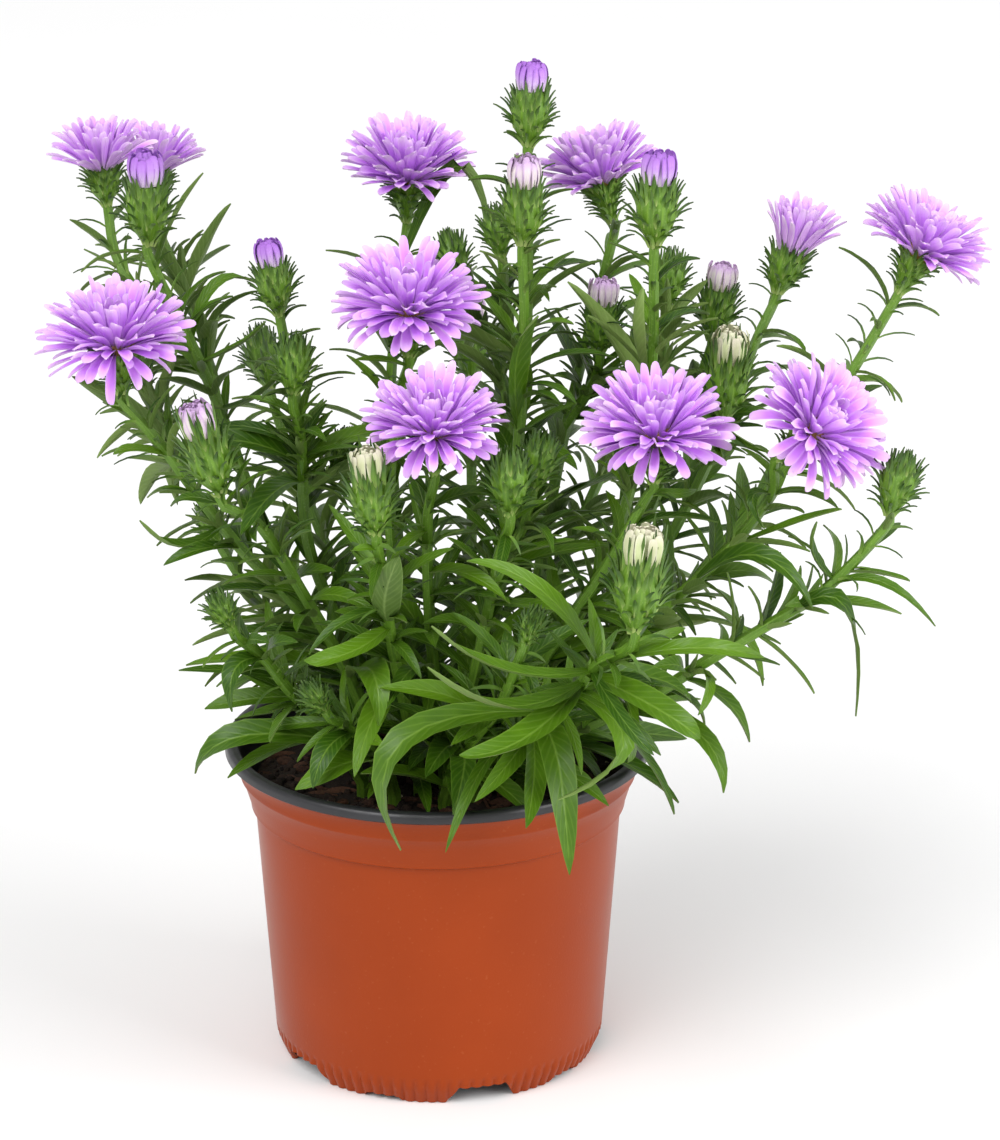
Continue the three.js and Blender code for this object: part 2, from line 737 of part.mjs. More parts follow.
// The rings of a strap-shaped floret that grows from a root: its middle, and its blunt tip.
function petalRings(frame, root, sides, tilt, length, extra) {
  const out = root.clone().sub(frame.seat);
  out.addScaledVector(frame.axis, -out.dot(frame.axis)).normalize();
  const side = new THREE.Vector3().crossVectors(frame.axis, out);
  const first = leaning(frame.axis, out, tilt - 12);
  const second = leaning(frame.axis, out, tilt + 10);
  const middle = root.clone().addScaledVector(first, length * 0.6);
  const tip = middle.clone().addScaledVector(second, length * 0.4 + extra);
  const normal = new THREE.Vector3().crossVectors(first, side);
  const corner = (centre, across, up) =>
    centre.clone().addScaledVector(side, across).addScaledVector(normal, up);
  const spread = middle.clone().sub(frame.seat).dot(out);
  const half = Math.min(PETAL_WIDTH, (PETAL_CROWDING * 2 * Math.PI * spread) / sides) / 2 + extra;
  const thick = PETAL_THICKNESS / 2 + extra;
  const left = corner(tip, -half * 0.6, 0);
  const right = corner(tip, half * 0.6, 0);
  return [
    [
      corner(middle, -half, -thick),
      corner(middle, half, -thick),
      corner(middle, half, thick),
      corner(middle, -half, thick),
    ],
    [left, right, right, left],
  ];
}

// A head's florets: the faces of a small domed core are drawn out in rows.
function bloomSolid(name, head, seed) {
  const frame = headFrame(head);
  const { radius, sides, core, rows } = FLORETS[head.kind];
  const rings = core.map(([above, wide], k) => {
    const centre = frame.seat.clone().addScaledVector(frame.axis, GAP + above * head.size);
    return Array.from({ length: sides }, (_, i) =>
      centre.clone().addScaledVector(direction(frame.around, ((i + k / 2) * 360) / sides), wide * head.size),
    );
  });
  const top = frame.seat.clone().addScaledVector(frame.axis, (core.at(-1)[0] + 2) * head.size);
  const grow = (k, i, root) => {
    if (k >= rows.length) return [];
    const { tilt, reach } = rows[k];
    const length = radius * head.size * reach * (0.9 + 0.12 * draw(seed, i, k + 20)) - core[k][1] * 0.8;
    for (const bend of [0, -10, -20, -32]) {
      const lean = tilt + bend + 6 * (draw(seed, i, k + 30) - 0.5);
      const [middle, tip] = petalRings(frame, root, sides, lean, length, CLEARANCE);
      const start = middle.map((p) => p.clone().lerp(root, 0.8));
      if (!isClear(solidOf(loft([start, middle, tip])), name)) continue;
      return petalRings(frame, root, sides, lean, length, 0);
    }
    return [];
  };
  return solidOf(loft([...rings, [top]], grow));
}

// The folded florets of a bud: an upright crown of rounded ridges.
function crownSolid(head) {
  const frame = headFrame(head);
  const lobes = 5;
  const ring = (above, ridge, groove) =>
    Array.from({ length: lobes * 2 }, (_, i) =>
      frame.seat
        .clone()
        .addScaledVector(frame.axis, above * head.size)
        .addScaledVector(direction(frame.around, (i * 180) / lobes), (i % 2 ? groove : ridge) * head.size),
    );
  const rings = [ring(GAP / head.size, 3.3, 2.9), ring(3.6, 4.6, 3.9), ring(7, 3, 1.7)];
  const geometry = loft([...rings, [frame.seat.clone().addScaledVector(frame.axis, 6.2 * head.size)]]);
  return solidOf(geometry);
}

// Every stem with its branches and necks, before its leaves
const plants = STEMS.map((stem, seed) => {
  const [x, y] = stem.path[0];
  const foot = vector([x, y, SOIL_TOP - HOLE_DEPTH + GAP]);
  const main = stemCurve(vector([x, y, SOIL_TOP + SHANK_RISE]), stem.path.slice(1), stem.head);
  const limbs = [{ curve: main, head: stem.head, thickness: STEM_RADIUS, first: FIRST_LEAF, foot }];
  for (const branch of stem.branches ?? []) {
    const points = main.points.length - 1;
    const curve = stemCurve(main.getPoint(branch.from / points), branch.path, branch.head);
    limbs.push({ curve, head: branch.head, thickness: 1.5, first: 10 });
  }
  const solids = limbs.map((limb) => solidOf(limbGeometry(limb)));
  const name = `stem_${stem.name}`;
  const body = fuse(solids);
  addObstacle(name, body);
  return { name, seed, limbs, solids: [body] };
});

let soil = soilSolid();
for (const stem of STEMS) {
  const [x, y] = stem.path[0];
  const hole = prism(x, y, STEM_RADIUS + 2 * GAP, SOIL_TOP - HOLE_DEPTH, SOIL_TOP + 9);
  soil = soil.subtract(solidOf(hole));
}
const pot = potSolid();
addObstacle("pot", pot);
addObstacle("soil", soil);
addMesh("pot", pot, "pot");
addMesh("soil", soil, "soil");

// Heads
for (const { name, seed, limbs } of plants) {
  limbs.forEach(({ head }, k) => {
    if (head.kind === "green") return;
    const isCrown = head.kind === "bud";
    const suffix = k === 0 ? "" : `_${k + 1}`;
    const title = `${name.replace("stem_", isCrown ? "crown_" : "bloom_")}${suffix}`;
    const solid = isCrown ? crownSolid(head) : bloomSolid(title, head, seed * 10 + k);
    addObstacle(title, solid);
    addMesh(title, solid, isCrown ? "crown" : "bloom");
  });
}

// Leaves: the large ones that show one by one, each bent through its middle, then rows along the stems
for (const [stemName, picked, middle, tip, width] of LARGE_LEAVES) {
  const plant = plants.find(({ name }) => name === `stem_${stemName}`);
  const root = nearestOn(plant.limbs, vector(picked));
  const control = root.clone().add(vector(tip)).multiplyScalar(-0.5).addScaledVector(vector(middle), 2);
  const curve = new THREE.QuadraticBezierCurve3(root, control, vector(tip));
  const axis = new THREE.Vector3(0, 0, 1);
  plant.solids.push(...growBlade(plant.name, [{ curve, axis, width }], true));
}
for (const plant of plants) {
  plant.limbs.forEach(({ curve, head, first }, k) => {
    const last = curve.getLength() - 3;
    for (let distance = first, n = 0; distance < last; distance += LEAF_PITCH, n++) {
      const choices = leafChoices(curve, plant.seed * 10 + k, n, distance);
      plant.solids.push(...growBlade(plant.name, choices));
    }
  });
  addMesh(plant.name, fuse(plant.solids), "stem");
}

export default part;
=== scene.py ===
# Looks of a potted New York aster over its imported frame: pot, soil, leafy stems, blooms and buds.
# Sizes are millimetres until a mesh is made. +Z is up, and the plant's front faces -Y.
import math
from collections import namedtuple

import bpy
import numpy as np
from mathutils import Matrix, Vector, kdtree
from mathutils.bvhtree import BVHTree


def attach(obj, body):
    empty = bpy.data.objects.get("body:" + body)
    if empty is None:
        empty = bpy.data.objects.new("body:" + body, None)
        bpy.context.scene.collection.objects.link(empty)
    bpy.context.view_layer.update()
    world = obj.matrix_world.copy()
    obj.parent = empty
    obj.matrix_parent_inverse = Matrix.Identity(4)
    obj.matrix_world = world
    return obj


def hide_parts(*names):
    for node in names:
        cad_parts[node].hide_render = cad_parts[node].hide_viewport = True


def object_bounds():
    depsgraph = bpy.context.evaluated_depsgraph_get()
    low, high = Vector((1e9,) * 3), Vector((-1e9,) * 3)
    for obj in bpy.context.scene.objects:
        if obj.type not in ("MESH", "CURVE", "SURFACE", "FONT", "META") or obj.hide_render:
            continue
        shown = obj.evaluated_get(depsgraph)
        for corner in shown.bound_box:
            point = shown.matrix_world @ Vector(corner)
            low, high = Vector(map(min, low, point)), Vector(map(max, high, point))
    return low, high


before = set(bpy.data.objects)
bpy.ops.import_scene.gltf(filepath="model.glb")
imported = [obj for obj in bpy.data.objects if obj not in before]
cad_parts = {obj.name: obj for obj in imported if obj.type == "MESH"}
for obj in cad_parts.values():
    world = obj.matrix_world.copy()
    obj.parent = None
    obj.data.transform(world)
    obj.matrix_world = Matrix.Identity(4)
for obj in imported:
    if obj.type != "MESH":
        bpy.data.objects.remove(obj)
cad_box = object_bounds()

MM = 0.001
UP = np.array([0.0, 0.0, 1.0])

# Pot
POT_HEIGHT = 92.5
RIM_RADIUS = 60
FLANGE_WIDTH = 3.5
RIM_LIP = 3
BAND_HEIGHT = 19
WALL_TOP_RADIUS = 51.7
WALL_FOOT_RADIUS = 46.8
BASE_RADIUS = 44.6
SKIRT_HEIGHT = 5
WALL = 1
FLOOR_HEIGHT = 6.5
PAD_RADIUS = 12
FEET = 5
FIRST_FOOT = -20
NOTCH_WIDTH = 25.5
SHALLOW_NOTCH = 14.5
SHALLOW_DEPTH = 1.3
DRAIN_RADIUS = 3.5
DRAIN_RING = 32
FLUTES = 90
FLUTE_DEPTH = 0.7
FLUTE_TOP = 7.9
POT_COLUMNS = 540
NOTCH_SLOPE = 4.2

# Soil and stems
SOIL_TOP = 80
SOIL_RISE = 1.7
CRUMBS = 1100
HOLE_DEPTH = 12
GAP = 0.35
STEM_SIDES = 5
STEM_RADIUS = 1.9
BRANCH_RADIUS = 1.5
NECK_RADIUS = 1.35
NECK_LEAD = 1.35
SHANK_RISE = 4

# The leaves of the frame
LEAF_PITCH = 25
FIRST_LEAF = 12
FIRST_BRANCH_LEAF = 10
LONG_LEAF = 48
SHORT_LEAF = 20
WIDE_LEAF = 8.6
NARROW_LEAF = 3.6

# A flower head has a kind, a place, the way it faces and a size, which is 1 at full size.
Flower = namedtuple("Flower", "kind at face size")
# A branch leaves its stem at a point of the stem's path, such as 3.4 for a little past the fourth.
Branch = namedtuple("Branch", "start path head")
# A leaf that shows by itself: the stem that bears it, its root, middle and tip, and its width.
Leaf = namedtuple("Leaf", "stem root middle tip width")


class Stem:
    """A stem out of the soil: its name, the places on its middle line, its head and its branches."""

    def __init__(self, name, path, head, *branches):
        self.name, self.path, self.head, self.branches = name, path, head, branches


STEMS = [
    Stem(
        "back_left",
        [(-17, 11), (-32, 15, 117), (-50, 24, 149), (-62, 27, 182), (-70, 25, 203)],
        Flower("bud", (-80, 24, 246), (0, -0.1, 1), 1.15),
        Branch(
            3.4, [(-79, 32, 206), (-90, 40, 220)],
            Flower("cup", (-94, 45, 245), (-0.1, 0, 1), 0.82),
        ),
        Branch(
            3, [(-68, 42, 202), (-77, 56, 218)],
            Flower("cup", (-81, 62, 240), (0.12, 0.15, 1), 0.8),
        ),
    ),
    Stem(
        "left",
        [(-17, -3), (-24, -7, 112), (-40, -12, 137), (-53, -14, 152), (-64, -15, 167), (-76, -14, 184)],
        Flower("bloom", (-86, -14, 209), (-0.06, -0.14, 1), 1.03),
        Branch(4.2, [(-76, 6, 184)], Flower("green", (-84, 20, 196), (-0.4, 0.5, 0.8), 0.6)),
    ),
    Stem(
        "twin_left",
        [(-9, 5), (-13, 4, 97), (-26, 1, 122), (-35, -2, 147), (-37, -2, 165), (-37, -1, 182)],
        Flower("bud", (-45, 4, 228), (-0.15, 0, 1), 0.9),
        Branch(4, [(-37, -10, 184)], Flower("green", (-38, -14, 211), (0.05, -0.1, 1), 0.95)),
        Branch(4, [(-31, 4, 168)], Flower("green", (-25, 8, 178), (0.4, 0.1, 0.9), 0.6)),
    ),
    Stem(
        "back_mid",
        [(-4, 17), (-4, 20, 98), (-10, 33, 124), (-13, 43, 150), (-14, 52, 177), (-12, 57, 204)],
        Flower("bloom", (-9, 60, 238), (0.02, -0.18, 1), 0.97),
    ),
    Stem(
        "mid_left",
        [(-6, -3), (-6, -3, 97), (-11, -3, 130), (-13, -4, 163), (-11, -5, 190)],
        Flower("bloom", (-7, -14, 219), (0.02, -0.24, 1), 1.02),
    ),
    Stem(
        "mid_low",
        [(2, -9), (0, -15, 106), (-2, -25, 140), (-2, -35, 169)],
        Flower("bloom", (0, -44, 194), (0, -0.27, 1), 0.94),
    ),
    Stem(
        "tall_back",
        [(6, 11), (7, 13, 92), (13, 17, 118), (18, 19, 145), (23, 19, 178), (25, 19, 212)],
        Flower("bud", (26, 16, 274), (0.06, 0, 1), 1),
        Branch(4.4, [(19, 27, 208)], Flower("green", (16, 31, 236), (-0.15, 0.1, 1), 0.8)),
        Branch(3.8, [(16, 31, 196), (8, 38, 209)], Flower("green", (3, 42, 226), (-0.25, 0.1, 1), 0.85)),
    ),
    Stem(
        "tall_mid",
        [(8, 2), (9, 2, 96), (16, 2, 127), (20, 1, 157), (23, 0, 186), (24, 0, 215)],
        Flower("bud", (24, 0, 251), (0.03, -0.05, 1), 1.05),
    ),
    Stem(
        "back_right",
        [(15, 11), (19, 13, 98), (26, 17, 122), (31, 22, 150), (36, 28, 175), (42, 32, 200)],
        Flower("bloom", (46, 36, 243), (-0.28, 0.05, 1), 0.88),
        Branch(4, [(43, 24, 188)], Flower("bud", (46, 19, 213), (0.05, -0.1, 1), 0.9)),
    ),
    Stem(
        "tall_right",
        [(16, 3), (22, 2, 96), (37, -1, 124), (49, -3, 152), (56, -4, 179), (59, -5, 205)],
        Flower("bud", (60, -5, 253), (0.05, 0, 1), 1.1),
        Branch(4.3, [(62, 6, 196), (63, 14, 208)], Flower("green", (65, 20, 226), (0.1, 0.1, 1), 0.9)),
    ),
    Stem(
        "right_low",
        [(15, -5), (20, -10, 102), (34, -20, 130), (47, -29, 154), (57, -33, 174)],
        Flower("bloom", (59, -38, 191), (0.03, -0.24, 1), 1.03),
    ),
    Stem(
        "back_far_right",
        [(22, 12), (28, 14, 95), (46, 22, 122), (60, 28, 150), (70, 31, 178)],
        Flower("bud", (79, 31, 214), (0.15, 0, 1), 0.95),
    ),
    Stem(
        "right_top",
        [(24, 5), (32, 7, 96), (51, 11, 123), (68, 15, 152), (80, 19, 178), (88, 22, 200)],
        Flower("half", (98, 25, 226), (0.3, 0, 1), 0.95),
        Branch(3.6, [(77, 6, 184)], Flower("bud", (80, -2, 203), (0.05, -0.2, 1), 1.15)),
    ),
    Stem(
        "far_right",
        [(30, 0), (38, 0, 98), (60, 2, 123), (82, 4, 151), (101, 6, 176), (114, 8, 196)],
        Flower("bloom", (132, 10, 229), (0.45, 0.02, 0.9), 0.93),
    ),
    Stem(
        "right_front",
        [(24, -9), (31, -12, 100), (53, -21, 129), (75, -27, 152), (90, -29, 172)],
        Flower("bloom", (100, -38, 193), (0.62, -0.4, 0.68), 1),
    ),
    Stem(
        "low_right",
        [(22, -18), (31, -22, 98), (57, -29, 114), (73, -35, 127), (90, -38, 139), (105, -40, 150)],
        Flower("green", (125, -41, 186), (0.25, 0, 1), 1),
    ),
    Stem(
        "front",
        [(10, -20), (16, -27, 97), (28, -43, 112), (37, -60, 127), (43, -72, 140)],
        Flower("bud", (54, -84, 172), (0.1, -0.1, 1), 1.25),
    ),
    Stem(
        "mid_front",
        [(4, -16), (8, -21, 108), (13, -29, 134), (17, -37, 158)],
        Flower("green", (20, -49, 189), (0, -0.2, 1), 1.05),
        Branch(2.6, [(23, -33, 164)], Flower("green", (29, -35, 190), (0.2, 0, 1), 0.9)),
    ),
    Stem(
        "front_left",
        [(-5, -13), (-8, -22, 106), (-12, -36, 134), (-14, -48, 158)],
        Flower("bud", (-17, -58, 187), (-0.1, -0.15, 1), 1.05),
    ),
    Stem(
        "left_front",
        [(-14, -11), (-24, -17, 116), (-37, -25, 145), (-48, -31, 166)],
        Flower("bud", (-62, -36, 192), (-0.25, -0.15, 1), 1.15),
    ),
    Stem(
        "low_left",
        [(-21, -13), (-29, -18, 101), (-40, -27, 116), (-47, -33, 128)],
        Flower("green", (-59, -39, 147), (-0.4, -0.1, 0.9), 0.65),
    ),
    Stem(
        "side_shoot",
        [(-12, -22), (-15, -28, 96), (-23, -36, 108)],
        Flower("green", (-34, -42, 122), (-0.5, -0.1, 0.8), 0.55),
    ),
    Stem(
        "tiny_front",
        [(2, -26), (6, -32, 98), (17, -46, 118)],
        Flower("green", (27, -62, 150), (0.3, -0.2, 0.9), 0.6),
    ),
    Stem(
        "rear_left",
        [(-11, 20), (-18, 28, 102), (-32, 44, 132), (-44, 57, 160)],
        Flower("green", (-52, 68, 190), (-0.2, 0.3, 1), 1),
    ),
    Stem(
        "rear_mid",
        [(4, 23), (6, 34, 104), (9, 52, 132), (9, 66, 158)],
        Flower("bud", (9, 78, 190), (0, 0.3, 1), 1),
    ),
    Stem(
        "rear_right",
        [(15, 20), (22, 32, 104), (37, 48, 132), (50, 60, 158)],
        Flower("green", (60, 72, 188), (0.2, 0.3, 1), 1),
    ),
    Stem(
        "rear_low",
        [(-19, 20), (-34, 32, 98), (-52, 44, 116)],
        Flower("green", (-68, 54, 142), (-0.4, 0.3, 0.9), 0.7),
    ),
]

# The way in which the large leaves turn their upper side.
FORWARD = np.array([0.0, -0.5, 0.87])

LARGE_LEAVES = [
    Leaf("front", (43, -72, 142), (28, -84, 165), (9, -90, 175), 5.5),
    Leaf("front", (41, -70, 138), (19, -92, 146), (0, -92, 158), 6),
    Leaf("front", (40, -66, 133), (19, -92, 136), (-1, -98, 149), 6.5),
    Leaf("front", (44, -72, 141), (67, -84, 149), (87, -72, 142), 5),
    Leaf("front", (39, -66, 131), (23, -96, 128), (7, -104, 127), 8),
    Leaf("front", (44, -68, 135), (58, -94, 136), (69, -100, 130), 8),
    Leaf("front", (44, -70, 137), (49, -96, 134), (57, -104, 127), 4),
    Leaf("front", (45, -66, 134), (59, -58, 131), (69, -52, 122), 7),
    Leaf("front", (28, -43, 112), (33, -66, 110), (36, -76, 82), 8),
    Leaf("front", (20, -32, 101), (12, -60, 105), (3, -75, 88), 3.5),
    Leaf("front", (32, -50, 119), (-8, -78, 121), (-9, -76, 89), 8),
    Leaf("tiny_front", (6, -31, 96), (8, -52, 105), (5, -68, 96), 7),
    Leaf("front", (40, -60, 127), (50, -76, 119), (33, -80, 105), 5.5),
    Leaf("low_right", (50, -26, 110), (70, -58, 116), (77, -70, 103), 5.5),
    Leaf("side_shoot", (-18, -31, 100), (-51, -40, 108), (-66, -38, 96), 8),
    Leaf("side_shoot", (-14, -26, 93), (-22, -44, 102), (-38, -50, 96), 9),
    Leaf("low_left", (-47, -33, 127), (-54, -42, 128), (-55, -46, 117), 5.5),
    Leaf("front_left", (-12, -38, 139), (-23, -52, 136), (-35, -52, 134), 6),
    Leaf("left_front", (-24, -17, 116), (-17, -44, 128), (-15, -54, 116), 8),
    Leaf("side_shoot", (-23, -36, 106), (-29, -50, 108), (-33, -54, 98), 6),
    Leaf("left", (-60, -15, 159), (-70, -24, 157), (-80, -26, 165), 4),
    Leaf("left", (-75, -14, 178), (-81, -22, 184), (-87, -24, 183), 3.5),
    Leaf("left", (-54, -14, 153), (-64, -24, 156), (-74, -26, 152), 4),
    Leaf("back_left", (-69, 25, 201), (-62, 30, 216), (-50, 34, 215), 3),
    Leaf("back_left", (-67, 26, 195), (-54, 12, 204), (-47, 6, 212), 3),
    Leaf("back_left", (-61, 26, 181), (-51, 16, 187), (-41, 12, 198), 5),
    Leaf("low_right", (95, -39, 143), (110, -46, 147), (114, -44, 115), 6),
    Leaf("right_front", (69, -24, 145), (86, -44, 161), (101, -50, 148), 6.5),
    Leaf("low_right", (105, -40, 151), (119, -48, 155), (134, -50, 143), 3),
    Leaf("low_right", (106, -40, 155), (101, -44, 162), (102, -46, 171), 4),
    Leaf("right_front", (81, -27, 159), (98, -44, 171), (108, -50, 176), 2.8),
    Leaf("right_front", (90, -30, 174), (85, -40, 176), (88, -43, 168), 3),
    Leaf("tall_mid", (22, 0, 183), (22, -8, 205), (28, -11, 218), 7),
    Leaf("tall_right", (58, -5, 199), (54, -14, 214), (56, -15, 227), 7),
    Leaf("front_left", (-12, -38, 141), (-13, -54, 153), (-9, -60, 166), 8),
    Leaf("back_mid", (-12, 57, 214), (5, 54, 244), (15, 46, 224), 4),
]

# The green part under a head, as (distance below the head's seat, radius) at size 1.
NECKS = {
    "bloom": [(11, 1.7), (7, 3.1), (2.5, 4.8), (0, 5.4)],
    "cup": [(11, 1.9), (8, 4.2), (3, 5.2), (0, 4.8)],
    "half": [(11, 1.9), (8, 4.2), (3, 5.2), (0, 4.8)],
    "bud": [(14, 1.8), (10, 4.6), (4.5, 5.2), (0, 3.7)],
    "green": [(14, 1.7), (9.5, 4.3), (3.5, 4.8), (0, 2.4)],
}


# Vectors and curves

def unit(v):
    return v / np.linalg.norm(v, axis=-1, keepdims=True)


def cross(a, b):
    return np.stack(
        [
            a[..., 1] * b[..., 2] - a[..., 2] * b[..., 1],
            a[..., 2] * b[..., 0] - a[..., 0] * b[..., 2],
            a[..., 0] * b[..., 1] - a[..., 1] * b[..., 0],
        ],
        axis=-1,
    )


def cross_directions(axis):
    """Two directions square to an axis, turned alike for neighbouring sections of a stem."""
    reference = np.array([1.0, 0.0, 0.0]) if abs(axis[2]) > 0.2 else UP
    across = unit(cross(axis, reference))
    first = unit(cross(across, axis))
    return first, cross(axis, first)


def turned(around, degrees):
    angle = math.radians(degrees)
    return around[0] * math.cos(angle) + around[1] * math.sin(angle)


def leaning(start, towards, degrees):
    angle = math.radians(degrees)
    return start * math.cos(angle) + towards * math.sin(angle)


def draw(a, b, c):
    """A repeatable draw between 0 and 1 from three whole numbers, as the frame's leaves have it."""
    mask = 0xFFFFFFFF
    t = (a * 73856093 + b * 19349663 + c * 83492791 + 0x6D2B79F5) & mask
    t = ((t ^ (t >> 15)) * (t | 1)) & mask
    t = (t ^ (t + (t ^ (t >> 7)) * (t | 61))) & mask
    return (t ^ (t >> 14)) / 2**32


class Course:
    """A smooth course through points, and places along it by share of its length."""

    STEPS = 200

    def __init__(self, points):
        p = np.array(points, float)
        self.spans = len(p) - 1
        self.padded = np.vstack([2 * p[0] - p[1], p, 2 * p[-1] - p[-2]])
        self.turns = np.linspace(0, 1, self.STEPS + 1)
        places = self.at(self.turns)
        steps = np.linalg.norm(np.diff(places, axis=0), axis=1)
        self.reach = np.concatenate([[0], np.cumsum(steps)])
        self.length = self.reach[-1]

    def at(self, t):
        place = np.atleast_1d(t) * self.spans
        k = np.minimum(place.astype(int), self.spans - 1)
        w = (place - k)[:, None]
        a, b, c, d = (self.padded[k + n] for n in range(4))
        start, end = (c - a) / 2, (d - b) / 2
        return b + start * w + (3 * (c - b) - 2 * start - end) * w**2 + (2 * (b - c) + start + end) * w**3

    def turn(self, share):
        return np.interp(np.atleast_1d(share) * self.length, self.reach, self.turns)

    def along(self, share):
        return self.at(self.turn(share))

    def heading(self, share):
        t = self.turn(share)
        return unit(self.at(np.minimum(t + 1e-4, 1)) - self.at(np.maximum(t - 1e-4, 0)))


def bend(points, shares):
    """Places and headings on the curve that leaves its first point for the second and ends at the third."""
    root, control, tip = (np.array(p, float) for p in points)
    s = np.asarray(shares)[:, None]
    places = (1 - s) ** 2 * root + 2 * s * (1 - s) * control + s**2 * tip
    return places, unit((1 - s) * (control - root) + s * (tip - control) + 1e-9)


def arc(root, axis, out, leans, length, shares):
    """Places and headings along a course that leans away from an axis by the given degrees."""
    angles = np.radians(leans)[:, None]
    headings = axis * np.cos(angles) + out * np.sin(angles)
    steps = unit(headings[1:] + headings[:-1]) * (np.diff(shares) * length)[:, None]
    return root + np.concatenate([np.zeros((1, 3)), np.cumsum(steps, axis=0)]), headings


# Meshes

class Skin:
    """The faces of one piece, each with a look, a place on the texture at each corner, and a tint."""

    def __init__(self):
        self.points, self.tints, self.places = [], [], []
        self.faces, self.looks = [], []
        self.count = 0

    def loft(self, rings, around, along, tint, looks):
        """A closed skin through rings of points. around has one value more than a ring has points."""
        stations, sides = rings.shape[:2]
        first = (np.arange(stations - 1) * sides)[:, None]
        j = np.arange(sides)[None, :]
        k = (j + 1) % sides
        quads = np.stack([first + j, first + k, first + sides + k, first + sides + j], axis=-1)
        u, v = np.asarray(around, float), np.asarray(along, float)
        corners = np.empty((stations - 1, sides, 4, 2))
        corners[:, :, 0, 0] = corners[:, :, 3, 0] = u[:-1]
        corners[:, :, 1, 0] = corners[:, :, 2, 0] = u[1:]
        corners[:, :, 0, 1] = corners[:, :, 1, 1] = v[:-1, None]
        corners[:, :, 2, 1] = corners[:, :, 3, 1] = v[1:, None]
        self.faces += (quads.reshape(-1, 4) + self.count).tolist()
        self.places.append(corners.reshape(-1, 2))
        face_looks = np.broadcast_to(looks, (stations - 1, sides)).ravel().tolist()
        self.looks += face_looks
        for ring, station in ((range(sides - 1, -1, -1), 0), (range(sides), stations - 1)):
            start = self.count + station * sides
            self.faces.append([start + i for i in ring])
            self.places.append(np.array([(u[i], v[station]) for i in ring]))
            self.looks.append(face_looks[-1 if station else 0])
        self.points.append(rings.reshape(-1, 3))
        self.tints.append(np.full(stations * sides, tint))
        self.count += stations * sides

    def mesh(self, name, materials, crease=50):
        mesh = bpy.data.meshes.new(name)
        mesh.from_pydata((np.concatenate(self.points) * MM).tolist(), [], self.faces)
        mesh.uv_layers.new(name="place").data.foreach_set("uv", np.concatenate(self.places).ravel())
        mesh.attributes.new("tint", "FLOAT", "POINT").data.foreach_set("value", np.concatenate(self.tints))
        mesh.polygons.foreach_set("material_index", self.looks)
        for material in materials:
            mesh.materials.append(material)
        mesh.shade_smooth()
        mesh.set_sharp_from_angle(angle=math.radians(crease))
        return mesh

    def piece(self, name, materials, nodes, crease=50):
        """The faces as an object that stands for CAD nodes."""
        made = bpy.data.objects.new(name, self.mesh(name, materials, crease))
        bpy.context.scene.collection.objects.link(made)
        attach(made, "root")
        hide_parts(*nodes)
        return made


def section(segments):
    """A blade's section from its left edge over the top and back: how far across, and which part is under."""
    top = np.linspace(1, -1, segments + 1)
    under = np.linspace(-1, 1, segments + 1)[1:-1]
    return np.concatenate([top, under]), np.concatenate([np.zeros(segments + 1), np.ones(segments - 1)])


def blade(
    skin, course, side, halves, thick, trough, segments, shares, tint,
    looks=(0, 1), twist=0, wave=0, phase=0,
):
    """A closed thin blade along a course: its half widths, its thickness and how deep its trough is."""
    places, headings = course
    normals = unit(cross(headings, side))
    sides = cross(normals, headings)
    if twist:
        angle = np.radians(twist) * shares[:, None] ** 1.5
        sides, normals = (
            sides * np.cos(angle) + normals * np.sin(angle),
            normals * np.cos(angle) - sides * np.sin(angle),
        )
    across, under = section(segments)
    half = halves[:, None]
    lift = half * trough * np.abs(across) ** 1.4 - under * thick * (1 - 0.55 * across**2)
    lift = lift + wave * half * across**2 * np.sin(9 * shares[:, None] + phase + across)
    rings = (
        places[:, None, :]
        + sides[:, None, :] * (half * across)[..., None]
        + normals[:, None, :] * lift[..., None]
    )
    around = 0.5 - 0.5 * np.append(across, across[0])
    ring_looks = [looks[0]] * segments + [looks[1]] * segments
    skin.loft(rings, around, shares, tint, ring_looks)
    return rings


def strap(skin, root, axis, out, leans, reach, halves, thick, trough, segments, shares, tint, **more):
    """A closed thin blade that leans away from an axis by the given degrees."""
    course = arc(root, axis, out, leans, reach, shares)
    blade(skin, course, cross(axis, out), halves, thick, trough, segments, shares, tint, **more)


def tube(skin, places, headings, radii, sides, tint, look, ridges=0):
    """A closed round skin along a course, with shallow ridges that run along it."""
    rings = np.empty((len(places), sides, 3))
    angles = np.linspace(0, 2 * math.pi, sides, endpoint=False)
    ripple = 1 + 0.07 * ridges * np.cos(STEM_SIDES * angles)
    for n, (place, heading) in enumerate(zip(places, headings)):
        first, second = cross_directions(heading)
        offsets = np.cos(angles)[:, None] * first + np.sin(angles)[:, None] * second
        rings[n] = place + offsets * (radii[n] * ripple)[:, None]
    reach = np.concatenate([[0], np.cumsum(np.linalg.norm(np.diff(places, axis=0), axis=1))])
    skin.loft(rings, np.linspace(0, 1, sides + 1), reach / 10, tint, [look] * sides)


# Flower heads

class Head:
    """A head's seat, its axis and the directions square to that."""

    def __init__(self, flower):
        self.kind, self.size = flower.kind, flower.size
        self.seat = np.array(flower.at, float)
        self.axis = unit(np.array(flower.face, float))
        self.around = cross_directions(self.axis)
        self.neck = NECKS[flower.kind][0][0] * flower.size

    def point(self, above, radius=0.0, degrees=0.0):
        return self.seat + self.axis * above * self.size + turned(self.around, degrees) * radius * self.size


GOLDEN = 137.508
PETAL_SHARES = np.array([0, 0.16, 0.36, 0.6, 0.8, 0.91, 0.97, 1.0])
PETAL_HALVES = np.array([0.32, 0.5, 0.76, 0.96, 1.0, 0.88, 0.62, 0.24])
BRACT_SHARES = np.array([0, 0.22, 0.45, 0.68, 0.88, 1.0])
BRACT_HALVES = np.array([0.8, 1.0, 0.9, 0.62, 0.3, 0.05])

